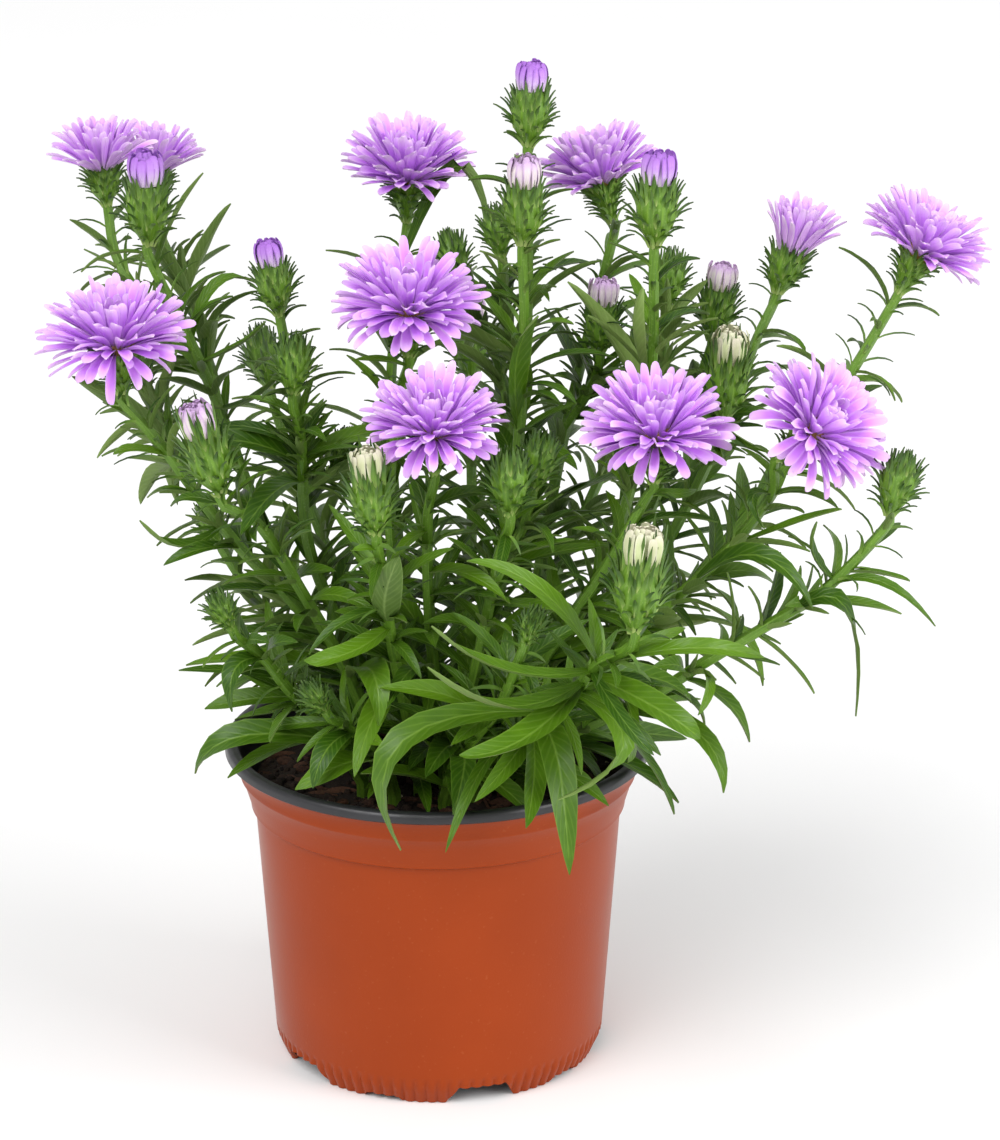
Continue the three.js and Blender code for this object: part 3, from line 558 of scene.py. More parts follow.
# Rows of florets from the outside in: how many, lean, length, root radius, root height, width,
# and by how many degrees more they lean at the tip.
FLORET_ROWS = {
    "bloom": [
        (16, 97, 15.0, 4.7, 0.5, 3.1, 18),
        (22, 86, 16.4, 4.7, 1.1, 3.1, 12),
        (25, 75, 16.8, 4.7, 1.8, 3.1, 7),
        (25, 64, 16.8, 4.5, 2.5, 3.1, 3),
        (22, 53, 16.4, 4.2, 3.2, 3.0, 0),
        (18, 42, 15.2, 3.8, 3.9, 2.9, -4),
        (12, 33, 11.5, 3.2, 4.6, 2.8, -22),
        (9, 24, 8.4, 2.4, 5.2, 2.7, -45),
        (7, 10, 6.4, 1.3, 5.7, 2.4, -60),
    ],
    "cup": [
        (16, 62, 17.0, 4.0, 0.5, 3.2, 12),
        (17, 50, 17.5, 3.9, 1.1, 3.1, 8),
        (16, 38, 17.0, 3.6, 1.7, 3.0, 6),
        (14, 26, 16.0, 3.1, 2.2, 2.8, 4),
        (10, 14, 14.5, 2.3, 2.6, 2.6, 4),
        (6, 6, 12.0, 1.2, 2.9, 2.4, 0),
    ],
    "half": [
        (18, 34, 15.5, 3.9, 0.5, 2.3, 10),
        (18, 26, 15.5, 3.7, 1.2, 2.1, 8),
        (16, 18, 14.5, 3.2, 1.8, 2.0, 6),
        (12, 12, 13.0, 2.4, 2.4, 1.9, 4),
        (8, 4, 11.0, 1.3, 2.8, 1.8, 0),
    ],
}

# The share of the outer florets that hang, and by how many degrees more they droop.
HANGING_SHARE = 0.12
HANGING_DROOP = 35

# Blooms that still stand like a bowl, with the share of the full lean that their florets have.
BOWLS = {"back_mid": 0.8, "back_right": 0.78, "far_right": 0.84}

# The buds that are still closed, and the further rows of bracts that stand round them.
CLOSED_BUDS = ("front", "front_left", "left_front", "right_top_2")
CLOSING_ROWS = [(-1.8, 13, 4, 2, 8.2), (-0.8, 12, 10, -6, 9.0)]

# Rows of straps in a bud's crown, told in the same way but for the lean at the tip.
CROWN_ROWS = [
    (13, 15, 7.4, 3.5, 0.2, 2.1),
    (11, 10, 7.3, 2.7, 0.5, 1.9),
    (8, 5, 7.0, 1.8, 0.8, 1.8),
    (4, 2, 6.4, 0.8, 1.0, 1.6),
]

# Rows of bracts from the lowest: height above the seat, how many, lean at the root and at the tip, length.
BRACT_ROWS = {
    "bloom": [
        (-12.5, 7, 18, 95, 7.5),
        (-10.6, 8, 16, 92, 7.5),
        (-8.8, 9, 18, 88, 7.2),
        (-7.0, 10, 20, 84, 7.0),
        (-5.4, 11, 22, 80, 6.6),
        (-3.8, 12, 24, 76, 6.4),
        (-2.2, 13, 28, 74, 6.0),
        (-0.8, 14, 34, 76, 5.6),
    ],
    "half": [
        (-12.5, 7, 18, 90, 7.5),
        (-10.6, 8, 22, 86, 7.4),
        (-8.8, 9, 24, 78, 7.2),
        (-7.0, 10, 20, 66, 7.0),
        (-5.4, 11, 14, 54, 6.6),
        (-3.8, 12, 10, 42, 6.4),
        (-2.0, 13, 8, 34, 6.0),
    ],
    "cup": [
        (-12.5, 7, 18, 92, 7.5),
        (-10.6, 8, 20, 90, 7.4),
        (-8.8, 9, 22, 86, 7.2),
        (-7.0, 10, 20, 78, 7.0),
        (-5.4, 11, 18, 68, 6.6),
        (-3.8, 12, 16, 60, 6.2),
        (-2.0, 13, 16, 54, 5.6),
    ],
    "bud": [
        (-15.5, 7, 20, 92, 7.5),
        (-13.6, 8, 24, 88, 7.5),
        (-11.8, 9, 26, 80, 7.4),
        (-10.0, 10, 20, 68, 7.2),
        (-8.2, 11, 12, 54, 7.0),
        (-6.4, 12, 6, 40, 6.8),
        (-4.6, 12, 2, 26, 6.4),
        (-2.8, 12, -2, 12, 6.0),
    ],
    "green": [
        (-15.5, 7, 20, 92, 7.5),
        (-13.6, 8, 24, 88, 7.5),
        (-11.8, 9, 26, 78, 7.4),
        (-10.0, 10, 20, 64, 7.2),
        (-8.2, 11, 12, 48, 7.0),
        (-6.4, 12, 4, 30, 6.8),
        (-4.6, 12, -6, 14, 6.4),
        (-2.8, 11, -16, 0, 5.8),
        (-1.2, 9, -26, -14, 4.8),
    ],
}


def neck_radius(head, above):
    profile = NECKS[head.kind]
    return float(np.interp(-above, [p[0] for p in profile[::-1]], [p[1] for p in profile[::-1]]))


def core(skin, head, heights, radii, sides, tint, look):
    """A closed round body along a head's axis."""
    places = head.seat + head.axis * (heights * head.size)[:, None]
    tube(skin, places, np.tile(head.axis, (len(places), 1)), radii, sides, tint, look)


def bracts(skin, head, closed, rng):
    """The rows of narrow green bracts round a head's neck, with tips that curl away."""
    rows = BRACT_ROWS[head.kind] + (CLOSING_ROWS if closed else [])
    for row, (above, count, first, last, length) in enumerate(rows):
        radius = max(neck_radius(head, above) - 0.5, 0.8)
        for i in range(count):
            degrees = (i + 0.5 * (row % 2)) * 360 / count + rng.uniform(-9, 9)
            out = turned(head.around, degrees)
            reach = length * max(head.size, 0.75) * rng.uniform(0.85, 1.2)
            leans = first + (last - first) * BRACT_SHARES**1.5 + rng.uniform(-9, 9)
            root = head.point(above + rng.uniform(-0.5, 0.5), radius, degrees)
            halves = BRACT_HALVES * 0.72 * max(head.size, 0.75) * rng.uniform(0.85, 1.15)
            strap(
                skin, root, head.axis, out, leans, reach, halves, 0.35, 0.35, 2, BRACT_SHARES, rng.random(),
                looks=(2, 2),
            )


def neck(skin, head):
    """The closed green body that the bracts stand on."""
    heights = np.linspace(-NECKS[head.kind][0][0], 0, 9)
    radii = np.array([neck_radius(head, h) for h in heights]) * head.size
    heights = np.append(heights, 0.6)
    radii = np.append(radii, radii[-1] * 0.5)
    core(skin, head, heights, radii, 14, 0.4, 3)


def florets(skin, head, opening, rng):
    """The strap-shaped florets of an open or half-open head, row by row, and its few small centre ones."""
    size = head.size
    for row, (count, lean, length, radius, above, width, curl) in enumerate(FLORET_ROWS[head.kind]):
        for i in range(count):
            degrees = (i + 0.37 * row) * 360 / count + rng.normal(0, 5)
            out = turned(head.around, degrees)
            tilt = lean * opening + rng.normal(0, 5)
            droop = curl * opening + rng.normal(0, 8)
            if lean * opening > 80 and rng.random() < HANGING_SHARE:
                droop += HANGING_DROOP
            leans = tilt - 10 + (10 + droop) * PETAL_SHARES**1.4
            root = head.point(GAP + above, radius, degrees)
            reach = length * size * rng.uniform(0.8, 1.06)
            halves = PETAL_HALVES * width / 2 * size * rng.uniform(0.8, 1.12)
            trough = rng.uniform(0.05, 0.55)
            strap(
                skin, root, head.axis, out, leans, reach, halves, 0.34, trough, 4, PETAL_SHARES, rng.random(),
                twist=rng.normal(0, 20), wave=0.12, phase=rng.uniform(0, 6),
            )


def heart(skin, head, rng):
    """The middle of an open head: a low dome under florets that are still curled in."""
    heights = np.array([0.2, 1.5, 3.2, 4.8, 5.8, 6.3])
    radii = np.array([4.6, 4.9, 4.4, 3.2, 1.9, 0.6]) * head.size
    core(skin, head, heights, radii, 16, 0.5, 2)
    for i in range(14):
        degrees = i * GOLDEN
        radius = 0.5 + 2.0 * math.sqrt(i / 14)
        out = turned(head.around, degrees)
        leans = 25 - (80 + rng.uniform(-20, 20)) * PETAL_SHARES
        root = head.point(6.0 - radius * 0.35, radius, degrees)
        reach = rng.uniform(3.6, 5.6) * head.size
        halves = PETAL_HALVES * rng.uniform(0.6, 0.95) * head.size
        strap(skin, root, head.axis, out, leans, reach, halves, 0.3, 0.4, 2, PETAL_SHARES, rng.random())


def crown(skin, head, rng):
    """The folded florets of a bud: upright straps in rings, whose tips lean in."""
    size = head.size
    for count, lean, length, radius, above, width in CROWN_ROWS:
        for i in range(count):
            degrees = (i + 0.5 * rng.random()) * 360 / count
            out = turned(head.around, degrees)
            leans = lean + rng.normal(0, 3) - (lean + 26 + rng.uniform(-8, 12)) * PETAL_SHARES**1.6
            root = head.point(GAP + above, radius, degrees)
            reach = length * size * rng.uniform(0.88, 1.06)
            halves = PETAL_HALVES**0.6 * width / 2 * size * rng.uniform(0.9, 1.1)
            strap(
                skin, root, head.axis, out, leans, reach, halves, 0.4, -0.3, 3, PETAL_SHARES, rng.random(),
                twist=rng.normal(0, 12),
            )
    heights = np.array([0.1, 2.5, 5.0, 6.2])
    radii = np.array([3.2, 3.6, 2.6, 0.8]) * size
    core(skin, head, heights, radii, 12, 0.3, 1)


# Leaves

LEAF_SHARES = np.array([0, 0.06, 0.15, 0.26, 0.38, 0.5, 0.62, 0.74, 0.85, 0.94, 1.0])
SMALL_SHARES = np.array([0, 0.15, 0.35, 0.55, 0.75, 0.9, 1.0])

# The further leaves: their length at a stem's foot and head, and how far apart they stand.
LOW_SPAN = 46
HIGH_SPAN = 20
PACE = (5.0, 8.0)
# The curled leaflets under a head: how far down they reach, and how far apart they stand.
LEAFLET_REACH = 34
LEAFLET_PACE = (1.8, 3.2)
# Where along a stem its tufts grow.
TUFT_SHARES = np.arange(0.1, 0.75, 0.09)


def outline(shares):
    """Half-width of a leaf along its length, as a share of its widest."""
    widest = 0.444**0.6 * 0.556**0.75
    shape = shares**0.6 * (1 - shares) ** 0.75 / widest
    return np.where(shares > 0.9, np.maximum(shape, 0.03), np.maximum(shape, 0.3))


def side_of(heading, stem_axis):
    side = cross(stem_axis, heading)
    return unit(side) if np.dot(side, side) > 1e-4 else np.array([1.0, 0.0, 0.0])


def grow_leaf(skin, points, stem_axis, width, rng, shares=LEAF_SHARES, segments=4, twist=12.0):
    """A leaf along the bend through three points: a shallow trough with a keeled rib and waved edges."""
    course = bend(points, shares)
    side = side_of(course[1][0], stem_axis)
    halves = outline(shares) * width / 2
    return blade(
        skin, course, side, halves, 0.45, rng.uniform(0.18, 0.42), segments, shares, rng.random(),
        twist=rng.normal(0, twist), wave=0.1, phase=rng.uniform(0, 6),
    )


def leaf_points(root, axis, out, rise, droop, span):
    """A leaf's root, its middle, which leans from the axis by the rise, and its tip, which leans further."""
    middle = root + leaning(axis, out, rise) * span * 0.5
    return root, middle, middle + leaning(axis, out, rise + droop) * span * 0.5


def row_choices(course, seed, n, distance):
    """The ways in which the frame's leaf at a distance along a stem may grow."""
    share = distance / course.length
    axis = course.heading(share)[0]
    root = course.along(share)[0]
    around = cross_directions(axis)
    span = (LONG_LEAF + (SHORT_LEAF - LONG_LEAF) * share) * (0.8 + 0.4 * draw(seed, n, 2))
    width = (WIDE_LEAF + (NARROW_LEAF - WIDE_LEAF) * share) * (0.85 + 0.3 * draw(seed, n, 3))
    rise = 38 + 22 * draw(seed, n, 4)
    droop = 15 + 55 * draw(seed, n, 5)
    for scale in (1, 0.72):
        for swing in (0, 1, -1, 2, -2):
            out = turned(around, (seed + 2 * n + swing + 0.5) * 360 / STEM_SIDES)
            yield leaf_points(root, axis, out, rise, droop, span * scale), axis, width


class Tips:
    """The corners of a CAD node, to tell which leaves it has."""

    def __init__(self, node):
        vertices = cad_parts[node].data.vertices
        self.tree = kdtree.KDTree(len(vertices))
        for i, vertex in enumerate(vertices):
            self.tree.insert(vertex.co / MM, i)
        self.tree.balance()

    def has(self, point):
        return self.tree.find(point)[2] < 0.1


class Room:
    """What a further leaf has to stay clear of: the CAD solids and the further leaves so far."""

    def __init__(self):
        low, high = (np.array(corner) / MM for corner in cad_box)
        self.low, self.high = low - 4, high + 4
        self.fixed = self.tree_of([o.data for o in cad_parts.values()])
        self.grown = []
        self.trees = []

    @staticmethod
    def tree_of(meshes):
        points, faces = [], []
        for mesh in meshes:
            start = len(points)
            points += [v.co / MM for v in mesh.vertices]
            faces += [[start + i for i in p.vertices] for p in mesh.polygons]
        return BVHTree.FromPolygons(points, faces)

    def add(self, rings):
        """Notes the left and right edge of a leaf."""
        self.grown.append(rings[:, [0, rings.shape[1] // 2]])

    def settle(self):
        """Takes the leaves grown since the last time into account."""
        if not self.grown:
            return
        points, faces = [], []
        for edges in self.grown:
            start = len(points)
            points += edges.reshape(-1, 3).tolist()
            for k in range(1, len(edges) - 1):
                a = start + 2 * k
                faces.append([a, a + 1, a + 3, a + 2])
        self.trees.append(BVHTree.FromPolygons(points, faces))
        self.grown = []

    def clear(self, points, side, half, first=0.15):
        """Whether a leaf's middle line and edges meet nothing past its root."""
        places, _ = bend(points, np.array([first, 0.35, 0.55, 0.75, 1.0]))
        if (places < self.low).any() or (places > self.high).any():
            return False
        for shift in (0, half, -half):
            lane = places + side * shift * np.array([0.6, 1, 0.9, 0.6, 0])[:, None]
            for a, b in zip(lane, lane[1:]):
                step = b - a
                reach = float(np.linalg.norm(step))
                for tree in (self.fixed, *self.trees):
                    if tree.ray_cast(a.tolist(), (step / reach).tolist(), reach)[0] is not None:
                        return False
        return True


# Plants

Limb = namedtuple("Limb", "course head radius first foot seed")


def limb_course(start, path, head):
    end = [head.seat - head.axis * head.neck * NECK_LEAD, head.seat - head.axis * head.neck]
    return Course([start, *path, *end])


def limbs_of(stem, order):
    """A stem and its branches, with the courses that the frame gives them."""
    x, y = stem.path[0]
    head = Head(stem.head)
    main = limb_course((x, y, SOIL_TOP + SHANK_RISE), stem.path[1:], head)
    foot = np.array([x, y, SOIL_TOP - HOLE_DEPTH + GAP])
    limbs = [Limb(main, head, STEM_RADIUS, FIRST_LEAF, foot, order * 10)]
    for k, branch in enumerate(stem.branches):
        head = Head(branch.head)
        course = limb_course(main.at(branch.start / main.spans)[0], branch.path, head)
        limbs.append(Limb(course, head, BRANCH_RADIUS, FIRST_BRANCH_LEAF, None, order * 10 + k + 1))
    return limbs


def stalk(skin, limb):
    """The stem itself, with ridges along it."""
    steps = max(6, round(limb.course.length / 3))
    shares = np.linspace(0, 1, steps + 1)
    places, headings = limb.course.along(shares), limb.course.heading(shares)
    radii = limb.radius + (NECK_RADIUS - limb.radius) * shares
    if limb.foot is not None:
        places = np.vstack([limb.foot, places])
        headings = np.vstack([UP, headings])
        radii = np.append(limb.radius, radii)
    tube(skin, places, headings, radii, 10, 0.5, 3, ridges=1)


def nearest_on(limbs, picked):
    """The point of a plant's middle lines that lies nearest to a picked one."""
    places = np.concatenate([limb.course.along(np.linspace(0, 1, 101)) for limb in limbs])
    return places[np.argmin(np.linalg.norm(places - picked, axis=1))]


def frame_leaves(skin, stem, limbs, tips, rng):
    """The leaves that the frame's stem has, in finer form."""
    for leaf in LARGE_LEAVES:
        if leaf.stem == stem.name and tips.has(leaf.tip):
            picked, middle, tip = (np.array(p, float) for p in leaf[1:4])
            root = nearest_on(limbs, picked)
            control = 2 * middle - (root + tip) / 2
            grow_leaf(skin, (root, control, tip), FORWARD, leaf.width * 1.1, rng, segments=6, twist=4)
    for limb in limbs:
        distance, n = limb.first, 0
        while distance < limb.course.length - 3:
            for points, axis, width in row_choices(limb.course, limb.seed, n, distance):
                if tips.has(points[2]):
                    grow_leaf(skin, points, axis, width * 0.95, rng, twist=5)
                    break
            distance += LEAF_PITCH
            n += 1


def further_leaves(skin, limb, room, rng):
    """More leaves between those of the frame, closer together, and shorter towards the head."""
    course = limb.course
    turn = rng.uniform(0, 360)
    distance = 4.0
    while distance < course.length - 4:
        share = distance / course.length
        axis, root = course.heading(share)[0], course.along(share)[0]
        around = cross_directions(axis)
        span = (LOW_SPAN + (HIGH_SPAN - LOW_SPAN) * share) * rng.uniform(0.6, 1.1)
        width = span * rng.uniform(0.12, 0.18)
        for attempt in range(5):
            out = turned(around, turn + attempt * 41)
            rise = rng.uniform(30, 60)
            droop = rng.uniform(15, 75)
            points = leaf_points(root, axis, out, rise, droop, span)
            side = side_of(leaning(axis, out, rise), axis)
            if room.clear(points, side, width / 2):
                room.add(grow_leaf(skin, points, axis, width, rng))
                break
            span *= 0.86
        turn += GOLDEN
        distance += rng.uniform(*PACE)


def leaflets(skin, limb, rng):
    """The small curled leaves just under a head."""
    course = limb.course
    turn = rng.uniform(0, 360)
    distance = course.length - 1
    lowest = max(course.length - LEAFLET_REACH, 4)
    while distance > lowest:
        share = distance / course.length
        axis, root = course.heading(share)[0], course.along(share)[0]
        out = turned(cross_directions(axis), turn)
        span = (7 + 0.28 * (course.length - distance)) * rng.uniform(0.8, 1.25)
        leans = rng.uniform(25, 50) + rng.uniform(35, 85) * SMALL_SHARES**1.2
        halves = outline(SMALL_SHARES) * rng.uniform(0.5, 0.85)
        tint = rng.random()
        strap(skin, root, axis, out, leans, span, halves, 0.3, 0.3, 2, SMALL_SHARES, tint, looks=(2, 2))
        turn += GOLDEN
        distance -= rng.uniform(*LEAFLET_PACE)


def tuft(skin, root, axis, room, rng):
    """A few small leaves that stand together where a leaf meets its stem."""
    around = cross_directions(axis)
    turn = rng.uniform(0, 360)
    for i in range(rng.integers(3, 6)):
        out = turned(around, turn + i * GOLDEN)
        span = rng.uniform(9, 19)
        rise = rng.uniform(20, 55)
        points = leaf_points(root, axis, out, rise, rng.uniform(5, 50), span)
        side = side_of(leaning(axis, out, rise), axis)
        width = span * rng.uniform(0.13, 0.2)
        if room.clear(points, side, width / 2, 0.3):
            room.add(grow_leaf(skin, points, axis, width, rng, SMALL_SHARES, 2))


def dress_plants():
    """Every stem with its leaves, and each bloom or crown as a piece of its own."""
    room = Room()
    for order, stem in enumerate(STEMS):
        rng = np.random.default_rng(100 + order)
        limbs = limbs_of(stem, order)
        skin = Skin()
        frame_leaves(skin, stem, limbs, Tips(f"stem_{stem.name}"), rng)
        for k, limb in enumerate(limbs):
            stalk(skin, limb)
            neck(skin, limb.head)
            name = stem.name if k == 0 else f"{stem.name}_{k + 1}"
            bracts(skin, limb.head, name in CLOSED_BUDS, rng)
            leaflets(skin, limb, rng)
            further_leaves(skin, limb, room, rng)
            for share in TUFT_SHARES:
                tuft(skin, limb.course.along(share)[0], limb.course.heading(share)[0], room, rng)
            head_piece(name, limb.head, rng)
        skin.piece(f"leafy_{stem.name}", LEAF_LOOKS, [f"stem_{stem.name}"])
        room.settle()


def head_piece(name, head, rng):
    """The florets of a bloom, or the crown of a bud, as a piece of its own."""
    skin = Skin()
    if head.kind == "bud":
        crown(skin, head, rng)
        look = FLORET_LOOKS[BUD_LOOKS.get(name, "pale")]
        skin.piece(f"folded_{name}", [look] * 2, [f"crown_{name}"])
    elif head.kind != "green":
        florets(skin, head, BOWLS.get(name, 1), rng)
        if head.kind == "bloom":
            heart(skin, head, rng)
        looks = [PETAL_LOOK, PETAL_BACK_LOOK, HEART_LOOK]
        skin.piece(f"florets_{name}", looks, [f"bloom_{name}"])


# Pot

def wall_radius(z):
    share = (z - SKIRT_HEIGHT) / (POT_HEIGHT - BAND_HEIGHT - SKIRT_HEIGHT)
    return WALL_FOOT_RADIUS + (WALL_TOP_RADIUS - WALL_FOOT_RADIUS) * share


def skirt_edge(degrees):
    """How high the skirt's lower edge stands at a turn from the front, with a shallow notch in each foot."""
    beside = (degrees - FIRST_FOOT) % (360 / FEET)
    from_foot = min(beside, 360 / FEET - beside)
    from_notch = 360 / FEET / 2 - from_foot
    deep = np.interp(from_notch, [NOTCH_WIDTH / 2 - NOTCH_SLOPE, NOTCH_WIDTH / 2], [SKIRT_HEIGHT, 0])
    shallow = np.interp(from_foot, [SHALLOW_NOTCH / 2 - 1, SHALLOW_NOTCH / 2], [SHALLOW_DEPTH, 0])
    return float(max(deep, shallow))


def dress_pot():
    """The two-tone pot: a notched, fluted skirt, a smooth wall, a stepped band, a black lip and inside."""
    band_foot, lip_foot = POT_HEIGHT - BAND_HEIGHT, POT_HEIGHT - RIM_LIP
    inner_foot = wall_radius(FLOOR_HEIGHT) - WALL
    shoulder = RIM_RADIUS - 7.2
    lip_root = RIM_RADIUS - 2.6

    def band_radius(z):
        return shoulder + (lip_root - shoulder) * (z - band_foot - 1) / (lip_foot - band_foot - 1)

    outside = [
        *((wall_radius(z), z) for z in (8.6, 9.6, 14, 24, 36, 48, 60, band_foot - 2, band_foot - 0.6)),
        (WALL_TOP_RADIUS + 0.1, band_foot - 0.1),
        (shoulder - 0.3, band_foot + 0.1),
        (shoulder + 0.1, band_foot + 0.45),
        (shoulder + 0.15, band_foot + 1),
        *((band_radius(z), z) for z in (band_foot + 2, band_foot + 6, lip_foot - 7)),
        (band_radius(lip_foot - 6.4) + 0.45, lip_foot - 6.4),
        (band_radius(lip_foot - 5.9) + 0.45, lip_foot - 5.9),
        *((band_radius(z), z) for z in (lip_foot - 5.2, lip_foot - 0.5)),
        (lip_root + 0.35, lip_foot - 0.12),
    ]
    lip = [
        (RIM_RADIUS - 0.45, lip_foot + 0.02),
        (RIM_RADIUS, lip_foot + 0.4),
        (RIM_RADIUS - 0.1, lip_foot + 1.7),
        (RIM_RADIUS - 0.35, POT_HEIGHT - 0.45),
        (RIM_RADIUS - 0.8, POT_HEIGHT - 0.05),
        (RIM_RADIUS - 1.7, POT_HEIGHT),
        (RIM_RADIUS - 3.0, POT_HEIGHT - 0.12),
        (RIM_RADIUS - FLANGE_WIDTH - 0.2, POT_HEIGHT - 0.6),
        (RIM_RADIUS - FLANGE_WIDTH - 0.6, POT_HEIGHT - 1.8),
        (RIM_RADIUS - 5.2, band_foot + 8.5),
        (RIM_RADIUS - 8.2, band_foot + 1.5),
        (WALL_TOP_RADIUS - WALL, band_foot),
        (inner_foot, FLOOR_HEIGHT + WALL),
        (PAD_RADIUS + 6, FLOOR_HEIGHT + WALL),
        (PAD_RADIUS, WALL),
        (0.4, WALL),
    ]
    underside = [(0.4, 0), (PAD_RADIUS + 0.6, 0), (PAD_RADIUS + 1, 0.3), (PAD_RADIUS + 7, FLOOR_HEIGHT)]
    half_foot = 360 / FEET / 2 - NOTCH_WIDTH / 2
    edges = [FIRST_FOOT + s * (half_foot + d) for s in (-1, 1) for d in (0, NOTCH_SLOPE)]
    edges += [FIRST_FOOT + s * (SHALLOW_NOTCH / 2 - d) for s in (-1, 1) for d in (0, 1)]
    turns = {round(n * 360 / POT_COLUMNS, 3) % 360 for n in range(POT_COLUMNS)}
    turns |= {round(e + 360 / FEET * n, 3) % 360 for e in edges for n in range(FEET)}
    turns = sorted(turns)
    columns = []
    for t in turns:
        angle = math.radians(t)
        edge = skirt_edge(t)
        skirt = []
        for z in np.linspace(edge, FLOOR_HEIGHT + 1.4, 6):
            groove = (0.5 + 0.5 * math.cos(angle * FLUTES)) ** 2
            depth = FLUTE_DEPTH * groove * np.interp(z, [FLUTE_TOP - 1.7, FLUTE_TOP], [1, 0])
            foot = np.interp(z, [0, SKIRT_HEIGHT], [BASE_RADIUS, WALL_FOOT_RADIUS])
            skirt.append((foot + max(wall_radius(z) - WALL_FOOT_RADIUS, 0) - depth, z))
        inner = [
            (inner_foot, FLOOR_HEIGHT),
            (inner_foot - 0.9, (FLOOR_HEIGHT + edge) / 2),
            (skirt[0][0] - WALL, edge),
        ]
        profile = [*underside, *inner, *skirt, *outside, *lip]
        columns.append([(r * math.sin(angle), -r * math.cos(angle), z) for r, z in profile])
    rings = np.array(columns).transpose(1, 0, 2)
    looks = np.ones(len(rings) - 1, int)
    looks[len(underside) + len(inner) - 1 : -len(lip)] = 0
    reach = np.linspace(0, 1, len(rings))
    around = np.append(turns, 360) / 360
    skin = Skin()
    skin.loft(rings, around, reach, 0.5, looks[:, None])
    made = skin.piece("pot_shell", [POT_LOOK, POT_INSIDE_LOOK], ["pot"], crease=40)
    drill_drains(made)


def drill_drains(pot):
    """Cuts the drain holes through the pot's floor."""
    drills = Skin()
    for foot in range(FEET):
        angle = math.radians(FIRST_FOOT + 360 / FEET * (foot + 0.5))
        centre = np.array([DRAIN_RING * math.sin(angle), -DRAIN_RING * math.cos(angle), 0])
        places = centre + UP * np.array([FLOOR_HEIGHT - 2, FLOOR_HEIGHT + 3])[:, None]
        tube(drills, places, np.tile(UP, (2, 1)), [DRAIN_RADIUS] * 2, 24, 0.5, 1)
    cutter = bpy.data.objects.new("drills", drills.mesh("drills", [POT_LOOK, POT_INSIDE_LOOK]))
    bpy.context.scene.collection.objects.link(cutter)
    cut = pot.modifiers.new("drains", "BOOLEAN")
    cut.operation, cut.solver, cut.object = "DIFFERENCE", "EXACT", cutter
    drilled = bpy.data.meshes.new_from_object(pot.evaluated_get(bpy.context.evaluated_depsgraph_get()))
    pot.modifiers.clear()
    pot.data = drilled
    bpy.data.objects.remove(cutter)


# Soil

# The kinds of crumb, which are also the soil's looks, and the smallest and largest of each.
PEAT, BARK, GRAIN = range(3)
CRUMB_SIZES = [(0.5, 1.5), (0.9, 1.9), (0.4, 0.8)]


def hills(x, y, seed):
    """Height of rough ground from a few ripples that cross each other at many scales."""
    rng = np.random.default_rng(seed)
    height = np.zeros_like(x)
    for octave in range(7):
        scale = 0.12 * 1.75**octave
        for _ in range(3):
            angle, phase = rng.uniform(0, 2 * math.pi, 2)
            height += np.sin((x * np.cos(angle) + y * np.sin(angle)) * scale + phase) * 0.75**octave / 3
    return height


def dress_soil():
    """Dark peat with a rough top, and crumbs, chips of bark and pale grains on it."""
    edge = wall_radius(POT_HEIGHT - BAND_HEIGHT) - WALL - GAP
    floor = FLOOR_HEIGHT + WALL + GAP
    turns = np.linspace(0, 2 * math.pi, 160, endpoint=False)
    body = [
        (0.3, WALL + GAP),
        (PAD_RADIUS - 1, WALL + GAP),
        (PAD_RADIUS + 5, floor),
        (wall_radius(FLOOR_HEIGHT) - WALL - GAP, floor),
        (edge, POT_HEIGHT - BAND_HEIGHT),
        (edge + 1.8, SOIL_TOP - 2),
    ]
    top = [(r, None) for r in np.concatenate([np.linspace(edge + SOIL_RISE, 4, 64), [2.5, 1.2, 0.3]])]
    rings = []
    for r, z in body + top:
        x, y = r * np.cos(turns), r * np.sin(turns)
        if z is None:
            fall = np.interp(r, [edge - 8, edge + SOIL_RISE], [0, 1.4])
            z = SOIL_TOP - 0.2 - fall + 0.9 * hills(x, y, 5)
        rings.append(np.stack([x, y, np.broadcast_to(z, x.shape)], axis=-1))
    rings = np.array(rings)
    skin = Skin()
    skin.loft(rings, np.linspace(0, 1, 161), np.linspace(0, 1, len(rings)), 0.5, 0)
    rng = np.random.default_rng(9)
    for n in range(CRUMBS):
        r, t = (edge + 1) * math.sqrt(rng.random()), rng.uniform(0, 2 * math.pi)
        x, y = r * math.cos(t), r * math.sin(t)
        z = SOIL_TOP - 0.3 + 0.9 * float(hills(np.array(x), np.array(y), 5)) - (1.2 if r > edge - 4 else 0)
        kind = BARK if n % 6 == 0 else GRAIN if n % 23 == 0 else PEAT
        crumb(skin, np.array([x, y, z]), rng.uniform(*CRUMB_SIZES[kind]), kind, rng)
    skin.piece("soil_top", [SOIL_LOOK, BARK_LOOK, GRAIN_LOOK], ["soil"], crease=60)


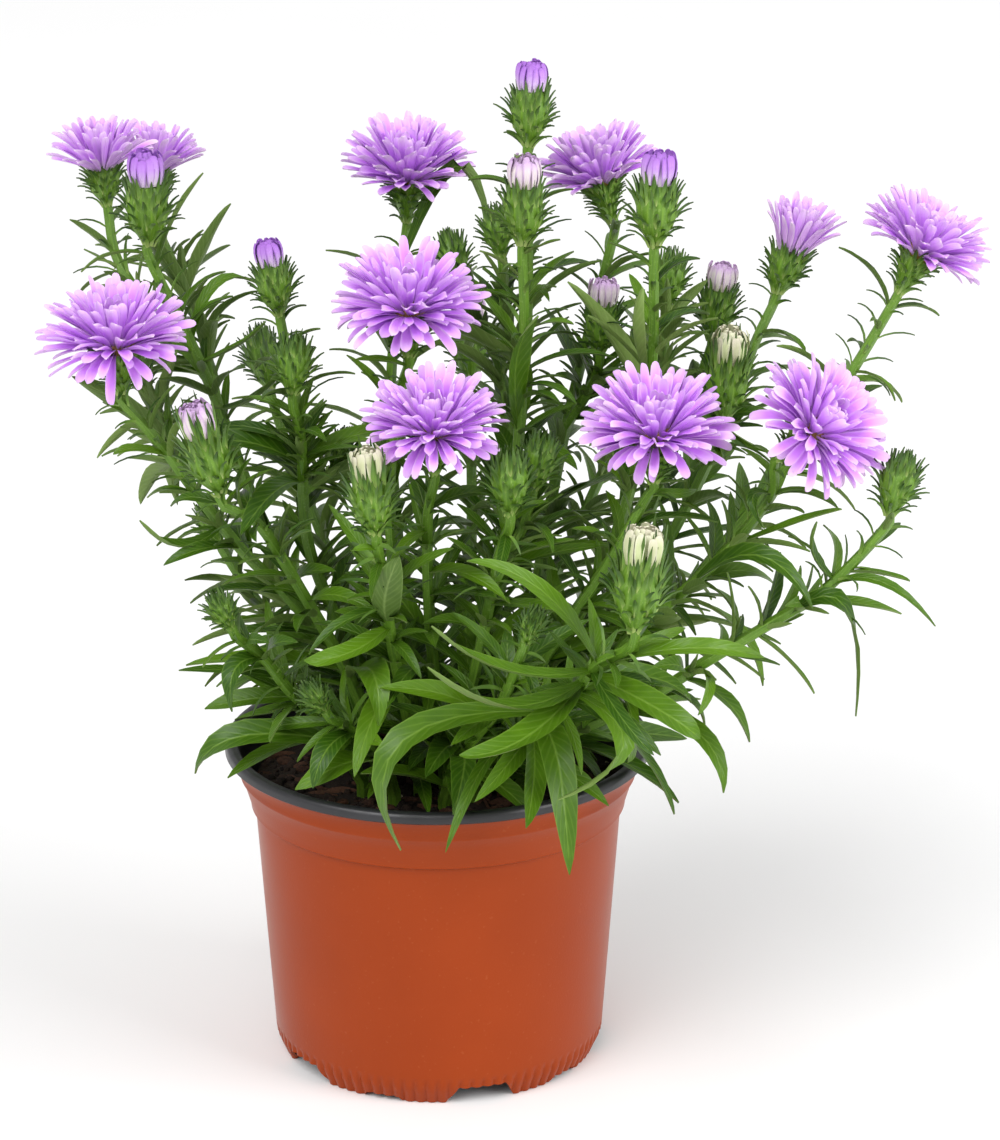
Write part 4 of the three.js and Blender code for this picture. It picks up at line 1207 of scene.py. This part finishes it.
def crumb(skin, place, size, kind, rng):
    """An uneven crumb of peat, a flat chip of bark or a pale grain."""
    is_bark = kind == BARK
    axis = unit(rng.normal(0, 1, 3) + (np.array([1.5, 0, 0]) if is_bark else 0))
    if is_bark:
        axis = unit(axis * np.array([1, 1, 0.3]))
    length = size * (rng.uniform(1.6, 3.4) if is_bark else rng.uniform(0.8, 1.3))
    first, second = cross_directions(axis)
    flat = 0.4 if is_bark else 0.85
    sides = 6
    angles = np.linspace(0, 2 * math.pi, sides, endpoint=False)
    rings = []
    for share, girth in ((-1, 0.35), (-0.6, 0.85), (0.1, 1.0), (0.7, 0.75), (1, 0.3)):
        radii = girth * size * rng.uniform(0.75, 1.2, sides)
        offsets = np.cos(angles)[:, None] * first + flat * np.sin(angles)[:, None] * second
        rings.append(place + axis * share * length + offsets * radii[:, None])
    skin.loft(np.array(rings), np.linspace(0, 1, sides + 1), np.linspace(0, 1, 5), rng.random(), kind)


# Materials

def add(tree, kind, sockets=None, **settings):
    """A node with its settings, and its sockets filled by values or by outputs of other nodes."""
    made = tree.nodes.new(kind)
    for name, value in settings.items():
        setattr(made, name, value)
    for socket, value in (sockets or {}).items():
        if isinstance(value, bpy.types.NodeSocket):
            tree.links.new(value, made.inputs[socket])
        else:
            made.inputs[socket].default_value = value
    return made


def ramp(tree, factor, *stops):
    """A colour for a factor, from stops of (place, colour)."""
    made = add(tree, "ShaderNodeValToRGB", {"Fac": factor})
    elements = made.color_ramp.elements
    while len(elements) < len(stops):
        elements.new(0.5)
    for element, (place, colour) in zip(elements, stops):
        element.position = place
        element.color = (*colour, 1)
    return made.outputs["Color"]


def mixed(tree, factor, a, b, blend="MIX"):
    made = add(tree, "ShaderNodeMix", data_type="RGBA", blend_type=blend)
    for index, value in ((0, factor), (6, a), (7, b)):
        if isinstance(value, bpy.types.NodeSocket):
            tree.links.new(value, made.inputs[index])
        else:
            made.inputs[index].default_value = value if index == 0 else (*value, 1)
    return made.outputs[2]


def maths(tree, operation, *values):
    return add(tree, "ShaderNodeMath", dict(enumerate(values)), operation=operation).outputs[0]


def times(tree, a, b):
    return maths(tree, "MULTIPLY", a, b)


def plus(tree, a, b):
    return maths(tree, "ADD", a, b)


def minus(tree, a, b):
    return maths(tree, "SUBTRACT", a, b)


def fade(tree, factor, *stops):
    """A share for a factor, from stops of (place, share)."""
    return ramp(tree, factor, *((place, (share,) * 3) for place, share in stops))


def noise(tree, place, scale, detail=3.0, rough=0.5):
    sockets = {"Vector": place, "Scale": scale, "Detail": detail, "Roughness": rough}
    return add(tree, "ShaderNodeTexNoise", sockets).outputs["Fac"]


class Look:
    """A material in the making, with the coordinates that its patterns use."""

    def __init__(self, name):
        self.material = bpy.data.materials.new(name)
        self.material.use_nodes = True
        self.tree = self.material.node_tree
        self.shader = self.tree.nodes["Principled BSDF"]
        self.object = add(self.tree, "ShaderNodeTexCoord").outputs["Object"]
        place = add(self.tree, "ShaderNodeUVMap", uv_map="place").outputs["UV"]
        split = add(self.tree, "ShaderNodeSeparateXYZ", {"Vector": place})
        self.place, self.across, self.along = place, split.outputs["X"], split.outputs["Y"]
        self.tint = add(self.tree, "ShaderNodeAttribute", attribute_name="tint").outputs["Fac"]

    def set(self, **values):
        """Sets the shader's sockets; an underscore stands for a space."""
        for name, value in values.items():
            socket = self.shader.inputs[name.replace("_", " ")]
            if isinstance(value, bpy.types.NodeSocket):
                self.tree.links.new(value, socket)
            else:
                socket.default_value = value
        return self.material

    def bump(self, height, distance, strength=1.0):
        sockets = {"Height": height, "Distance": distance, "Strength": strength}
        return add(self.tree, "ShaderNodeBump", sockets).outputs["Normal"]

    def from_middle(self):
        """How far a point lies from the rib of its blade: 0 on the rib and 1 at the edge."""
        return times(self.tree, maths(self.tree, "ABSOLUTE", minus(self.tree, self.across, 0.5)), 2.0)


def leaf_look(name, deep, bright, rib, roughness):
    look = Look(name)
    tree = look.tree
    blotch = noise(tree, look.object, 220)
    varied = plus(tree, times(tree, look.tint, 0.65), times(tree, blotch, 0.4))
    green = ramp(tree, varied, (0.2, deep), (0.85, bright))
    middle = look.from_middle()
    rib_mask = fade(tree, middle, (0.0, 1), (0.12, 0))
    slant = minus(tree, times(tree, look.along, 34.0), times(tree, middle, 7.0))
    vein = maths(tree, "POWER", maths(tree, "ABSOLUTE", maths(tree, "SINE", slant)), 9.0)
    veined = mixed(tree, times(tree, vein, 0.16), green, rib)
    ribbed = mixed(tree, times(tree, rib_mask, 0.5), veined, rib)
    edge = fade(tree, middle, (0.9, 0), (1.0, 1))
    coloured = mixed(tree, times(tree, edge, 0.4), ribbed, rib)
    grain = times(tree, noise(tree, look.object, 900), 0.4)
    relief = minus(tree, grain, plus(tree, times(tree, vein, 0.35), rib_mask))
    return look.set(
        Base_Color=coloured,
        Roughness=roughness,
        Normal=look.bump(relief, 0.00012),
        Specular_IOR_Level=0.32,
    )


def stem_look():
    look = Look("stem")
    tree = look.tree
    streak = add(tree, "ShaderNodeMapping", {"Vector": look.place, "Scale": (40, 0.8, 1)}).outputs["Vector"]
    green = ramp(tree, noise(tree, streak, 1.0, 2), (0.3, (0.075, 0.18, 0.01)), (0.7, (0.17, 0.33, 0.025)))
    fleck = fade(tree, noise(tree, look.object, 1500, 1), (0.62, 0), (0.7, 1))
    coloured = mixed(tree, times(tree, fleck, 0.3), green, (0.35, 0.5, 0.15))
    relief = look.bump(noise(tree, streak, 1.0, 2), 0.0002)
    return look.set(Base_Color=coloured, Roughness=0.45, Normal=relief)


def bract_look():
    look = Look("bract")
    tree = look.tree
    green = ramp(tree, look.along, (0.0, (0.42, 0.52, 0.16)), (0.3, (0.16, 0.3, 0.04)),
                 (0.6, (0.045, 0.12, 0.012)), (1.0, (0.018, 0.045, 0.007)))
    varied = mixed(tree, times(tree, look.tint, 0.3), green, (0.24, 0.4, 0.07))
    grain = noise(tree, look.object, 900)
    return look.set(Base_Color=varied, Roughness=0.5, Normal=look.bump(grain, 0.0001))


def floret_look(name, root, body, tip, reach=0.22):
    """A petal's colour, whose root colour ends at the reach, with fine lines along it and paler edges. A root
    colour darker than the body, as on the open petals, is painted shade where the florets' bases crowd
    together.
    """
    look = Look(name)
    tree = look.tree
    lengthwise = ramp(tree, look.along, (0.0, root), (reach, body), (0.68, body), (1.0, tip))
    middle = look.from_middle()
    edge = fade(tree, middle, (0.55, 0), (1.0, 1))
    edged = mixed(tree, times(tree, edge, 0.8), lengthwise, tip)
    streak = add(tree, "ShaderNodeMapping", {"Vector": look.place, "Scale": (14, 1.2, 1)}).outputs["Vector"]
    lines = noise(tree, streak, 1.0, 2)
    lined = mixed(tree, times(tree, lines, 0.28), edged, body)
    deeper = tuple(c * share for c, share in zip(body, (0.75, 0.5, 0.92)))
    varied = mixed(tree, times(tree, look.tint, 0.35), lined, deeper)
    return look.set(
        Base_Color=varied, Roughness=0.55, Normal=look.bump(lines, 0.00018), Specular_IOR_Level=0.3,
    )


def pot_look():
    look = Look("terracotta_plastic")
    tree = look.tree
    cloud = noise(tree, look.object, 30, 4)
    fine = noise(tree, look.object, 1800, 2)
    colour = ramp(tree, cloud, (0.3, (0.28, 0.036, 0.0015)), (0.7, (0.31, 0.041, 0.002)))
    speck = fade(tree, noise(tree, look.object, 900, 1), (0.7, 0), (0.78, 1))
    coloured = mixed(tree, times(tree, speck, 0.12), colour, (0.5, 0.16, 0.06))
    rough = fade(tree, cloud, (0.3, 0.28), (0.7, 0.38))
    relief = look.bump(fine, 0.00003)
    return look.set(Base_Color=coloured, Roughness=rough, Normal=relief, Specular_IOR_Level=0.2)


def pot_inside_look():
    look = Look("black_plastic")
    tree = look.tree
    cloud = noise(tree, look.object, 60, 4)
    colour = ramp(tree, cloud, (0.3, (0.014, 0.014, 0.016)), (0.7, (0.028, 0.028, 0.032)))
    rough = fade(tree, noise(tree, look.object, 300), (0.3, 0.3), (0.7, 0.42))
    relief = look.bump(noise(tree, look.object, 1500), 0.00003)
    return look.set(Base_Color=colour, Roughness=rough, Normal=relief)


def earth_look(name, dark, light, scale, roughness=0.95):
    look = Look(name)
    tree = look.tree
    grain = noise(tree, look.object, scale, 6, 0.65)
    varied = plus(tree, times(tree, grain, 0.7), times(tree, look.tint, 0.3))
    colour = ramp(tree, varied, (0.3, dark), (0.75, light))
    return look.set(Base_Color=colour, Roughness=roughness, Normal=look.bump(grain, 0.0006))


LEAF_LOOKS = [
    leaf_look("leaf_top", (0.024, 0.078, 0.002), (0.098, 0.215, 0.006), (0.22, 0.37, 0.05), 0.36),
    leaf_look("leaf_under", (0.085, 0.155, 0.026), (0.18, 0.28, 0.06), (0.3, 0.42, 0.13), 0.55),
    bract_look(),
    stem_look(),
]
PALE_TIP = (0.98, 0.78, 1.0)
# The darker violet root colour of the open petals is painted shade at the crowded bases of the florets.
PETAL_LOOK = floret_look("petal", (0.48, 0.15, 0.62), (0.77, 0.34, 0.98), PALE_TIP)
PETAL_BACK_LOOK = floret_look("petal_back", (0.8, 0.7, 0.8), (0.8, 0.45, 0.98), PALE_TIP)
HEART_LOOK = floret_look("floret_heart", (0.4, 0.32, 0.05), (0.34, 0.2, 0.06), (0.5, 0.36, 0.08))
FLORET_LOOKS = {
    "violet": floret_look("bud_violet", (0.95, 0.92, 0.85), (0.56, 0.3, 0.78), (0.34, 0.12, 0.56), 0.64),
    "pale": floret_look("bud_pale", (0.8, 0.84, 0.5), (0.84, 0.78, 0.74), (0.6, 0.36, 0.72), 0.4),
    "cream": floret_look("bud_cream", (0.4, 0.52, 0.16), (0.62, 0.7, 0.36), (0.82, 0.8, 0.62), 0.5),
}
BUD_LOOKS = {
    **dict.fromkeys(("back_left", "tall_back", "tall_right", "twin_left"), "violet"),
    **dict.fromkeys(("front", "right_top_2", "front_left"), "cream"),
}
POT_LOOK = pot_look()
POT_INSIDE_LOOK = pot_inside_look()
SOIL_LOOK = earth_look("peat", (0.008, 0.0045, 0.003), (0.05, 0.028, 0.018), 700)
BARK_LOOK = earth_look("bark", (0.03, 0.012, 0.006), (0.16, 0.07, 0.035), 1200, 0.8)
GRAIN_LOOK = earth_look("grain", (0.45, 0.38, 0.26), (0.8, 0.72, 0.55), 2000, 0.7)


# The studio

FLOOR_REACH = 6.0
FLOOR_DROP = 0.0002
WORLD_LIGHT = 0.6
KEY_PLACE = (-0.5, -0.8, 1.1)
KEY_STRENGTH = 2.0
KEY_SPREAD = 45
SIDE_PLACE = (1.3, -0.7, 0.9)
SIDE_STRENGTH = 16
SIDE_SIZE = 1.0
LIT_PLACE = (0, 0, 0.15)
CAMERA_PLACE = (0.0175, -1.1391, 0.5296)
CAMERA_TILT = 71.2
CAMERA_LENS = 136.55


def lay_floor():
    """The plain pale floor, a hair's breadth under the pot."""
    r = FLOOR_REACH
    mesh = bpy.data.meshes.new("floor")
    mesh.from_pydata([(-r, -r, 0), (r, -r, 0), (r, r, 0), (-r, r, 0)], [], [(0, 1, 2, 3)])
    look = Look("pale_floor")
    shade = fade(look.tree, noise(look.tree, look.object, 3), (0.3, 0.9), (0.7, 0.92))
    mesh.materials.append(look.set(Base_Color=shade, Roughness=0.9))
    floor = bpy.data.objects.new("floor", mesh)
    floor.location.z = -FLOOR_DROP
    bpy.context.scene.collection.objects.link(floor)


def light_up():
    """A pale world, a broad sun from the front left and a soft lamp from the right."""
    scene = bpy.context.scene
    world = bpy.data.worlds.new("studio")
    world.use_nodes = True
    background = world.node_tree.nodes["Background"]
    background.inputs["Color"].default_value = (1, 1, 1, 1)
    background.inputs["Strength"].default_value = WORLD_LIGHT
    scene.world = world
    scene.view_settings.view_transform = "Standard"
    key = bpy.data.lights.new("key", "SUN")
    key.energy, key.angle = KEY_STRENGTH, math.radians(KEY_SPREAD)
    side = bpy.data.lights.new("side", "AREA")
    side.energy, side.size = SIDE_STRENGTH, SIDE_SIZE
    for light, place in ((key, KEY_PLACE), (side, SIDE_PLACE)):
        lamp = bpy.data.objects.new(light.name, light)
        lamp.location = place
        lamp.rotation_mode = "QUATERNION"
        lamp.rotation_quaternion = (Vector(LIT_PLACE) - Vector(place)).to_track_quat("-Z", "Y")
        scene.collection.objects.link(lamp)


def set_camera():
    """The photograph's camera, as fitted to the pot."""
    camera = bpy.data.cameras.new("photo")
    camera.sensor_width, camera.lens = 36, CAMERA_LENS
    camera.clip_start = 0.05
    viewer = bpy.data.objects.new("photo", camera)
    viewer.location = CAMERA_PLACE
    viewer.rotation_euler = (math.radians(CAMERA_TILT), 0, 0)
    bpy.context.scene.collection.objects.link(viewer)
    bpy.context.scene.camera = viewer


dress_pot()
dress_soil()
dress_plants()
lay_floor()
light_up()
set_camera()
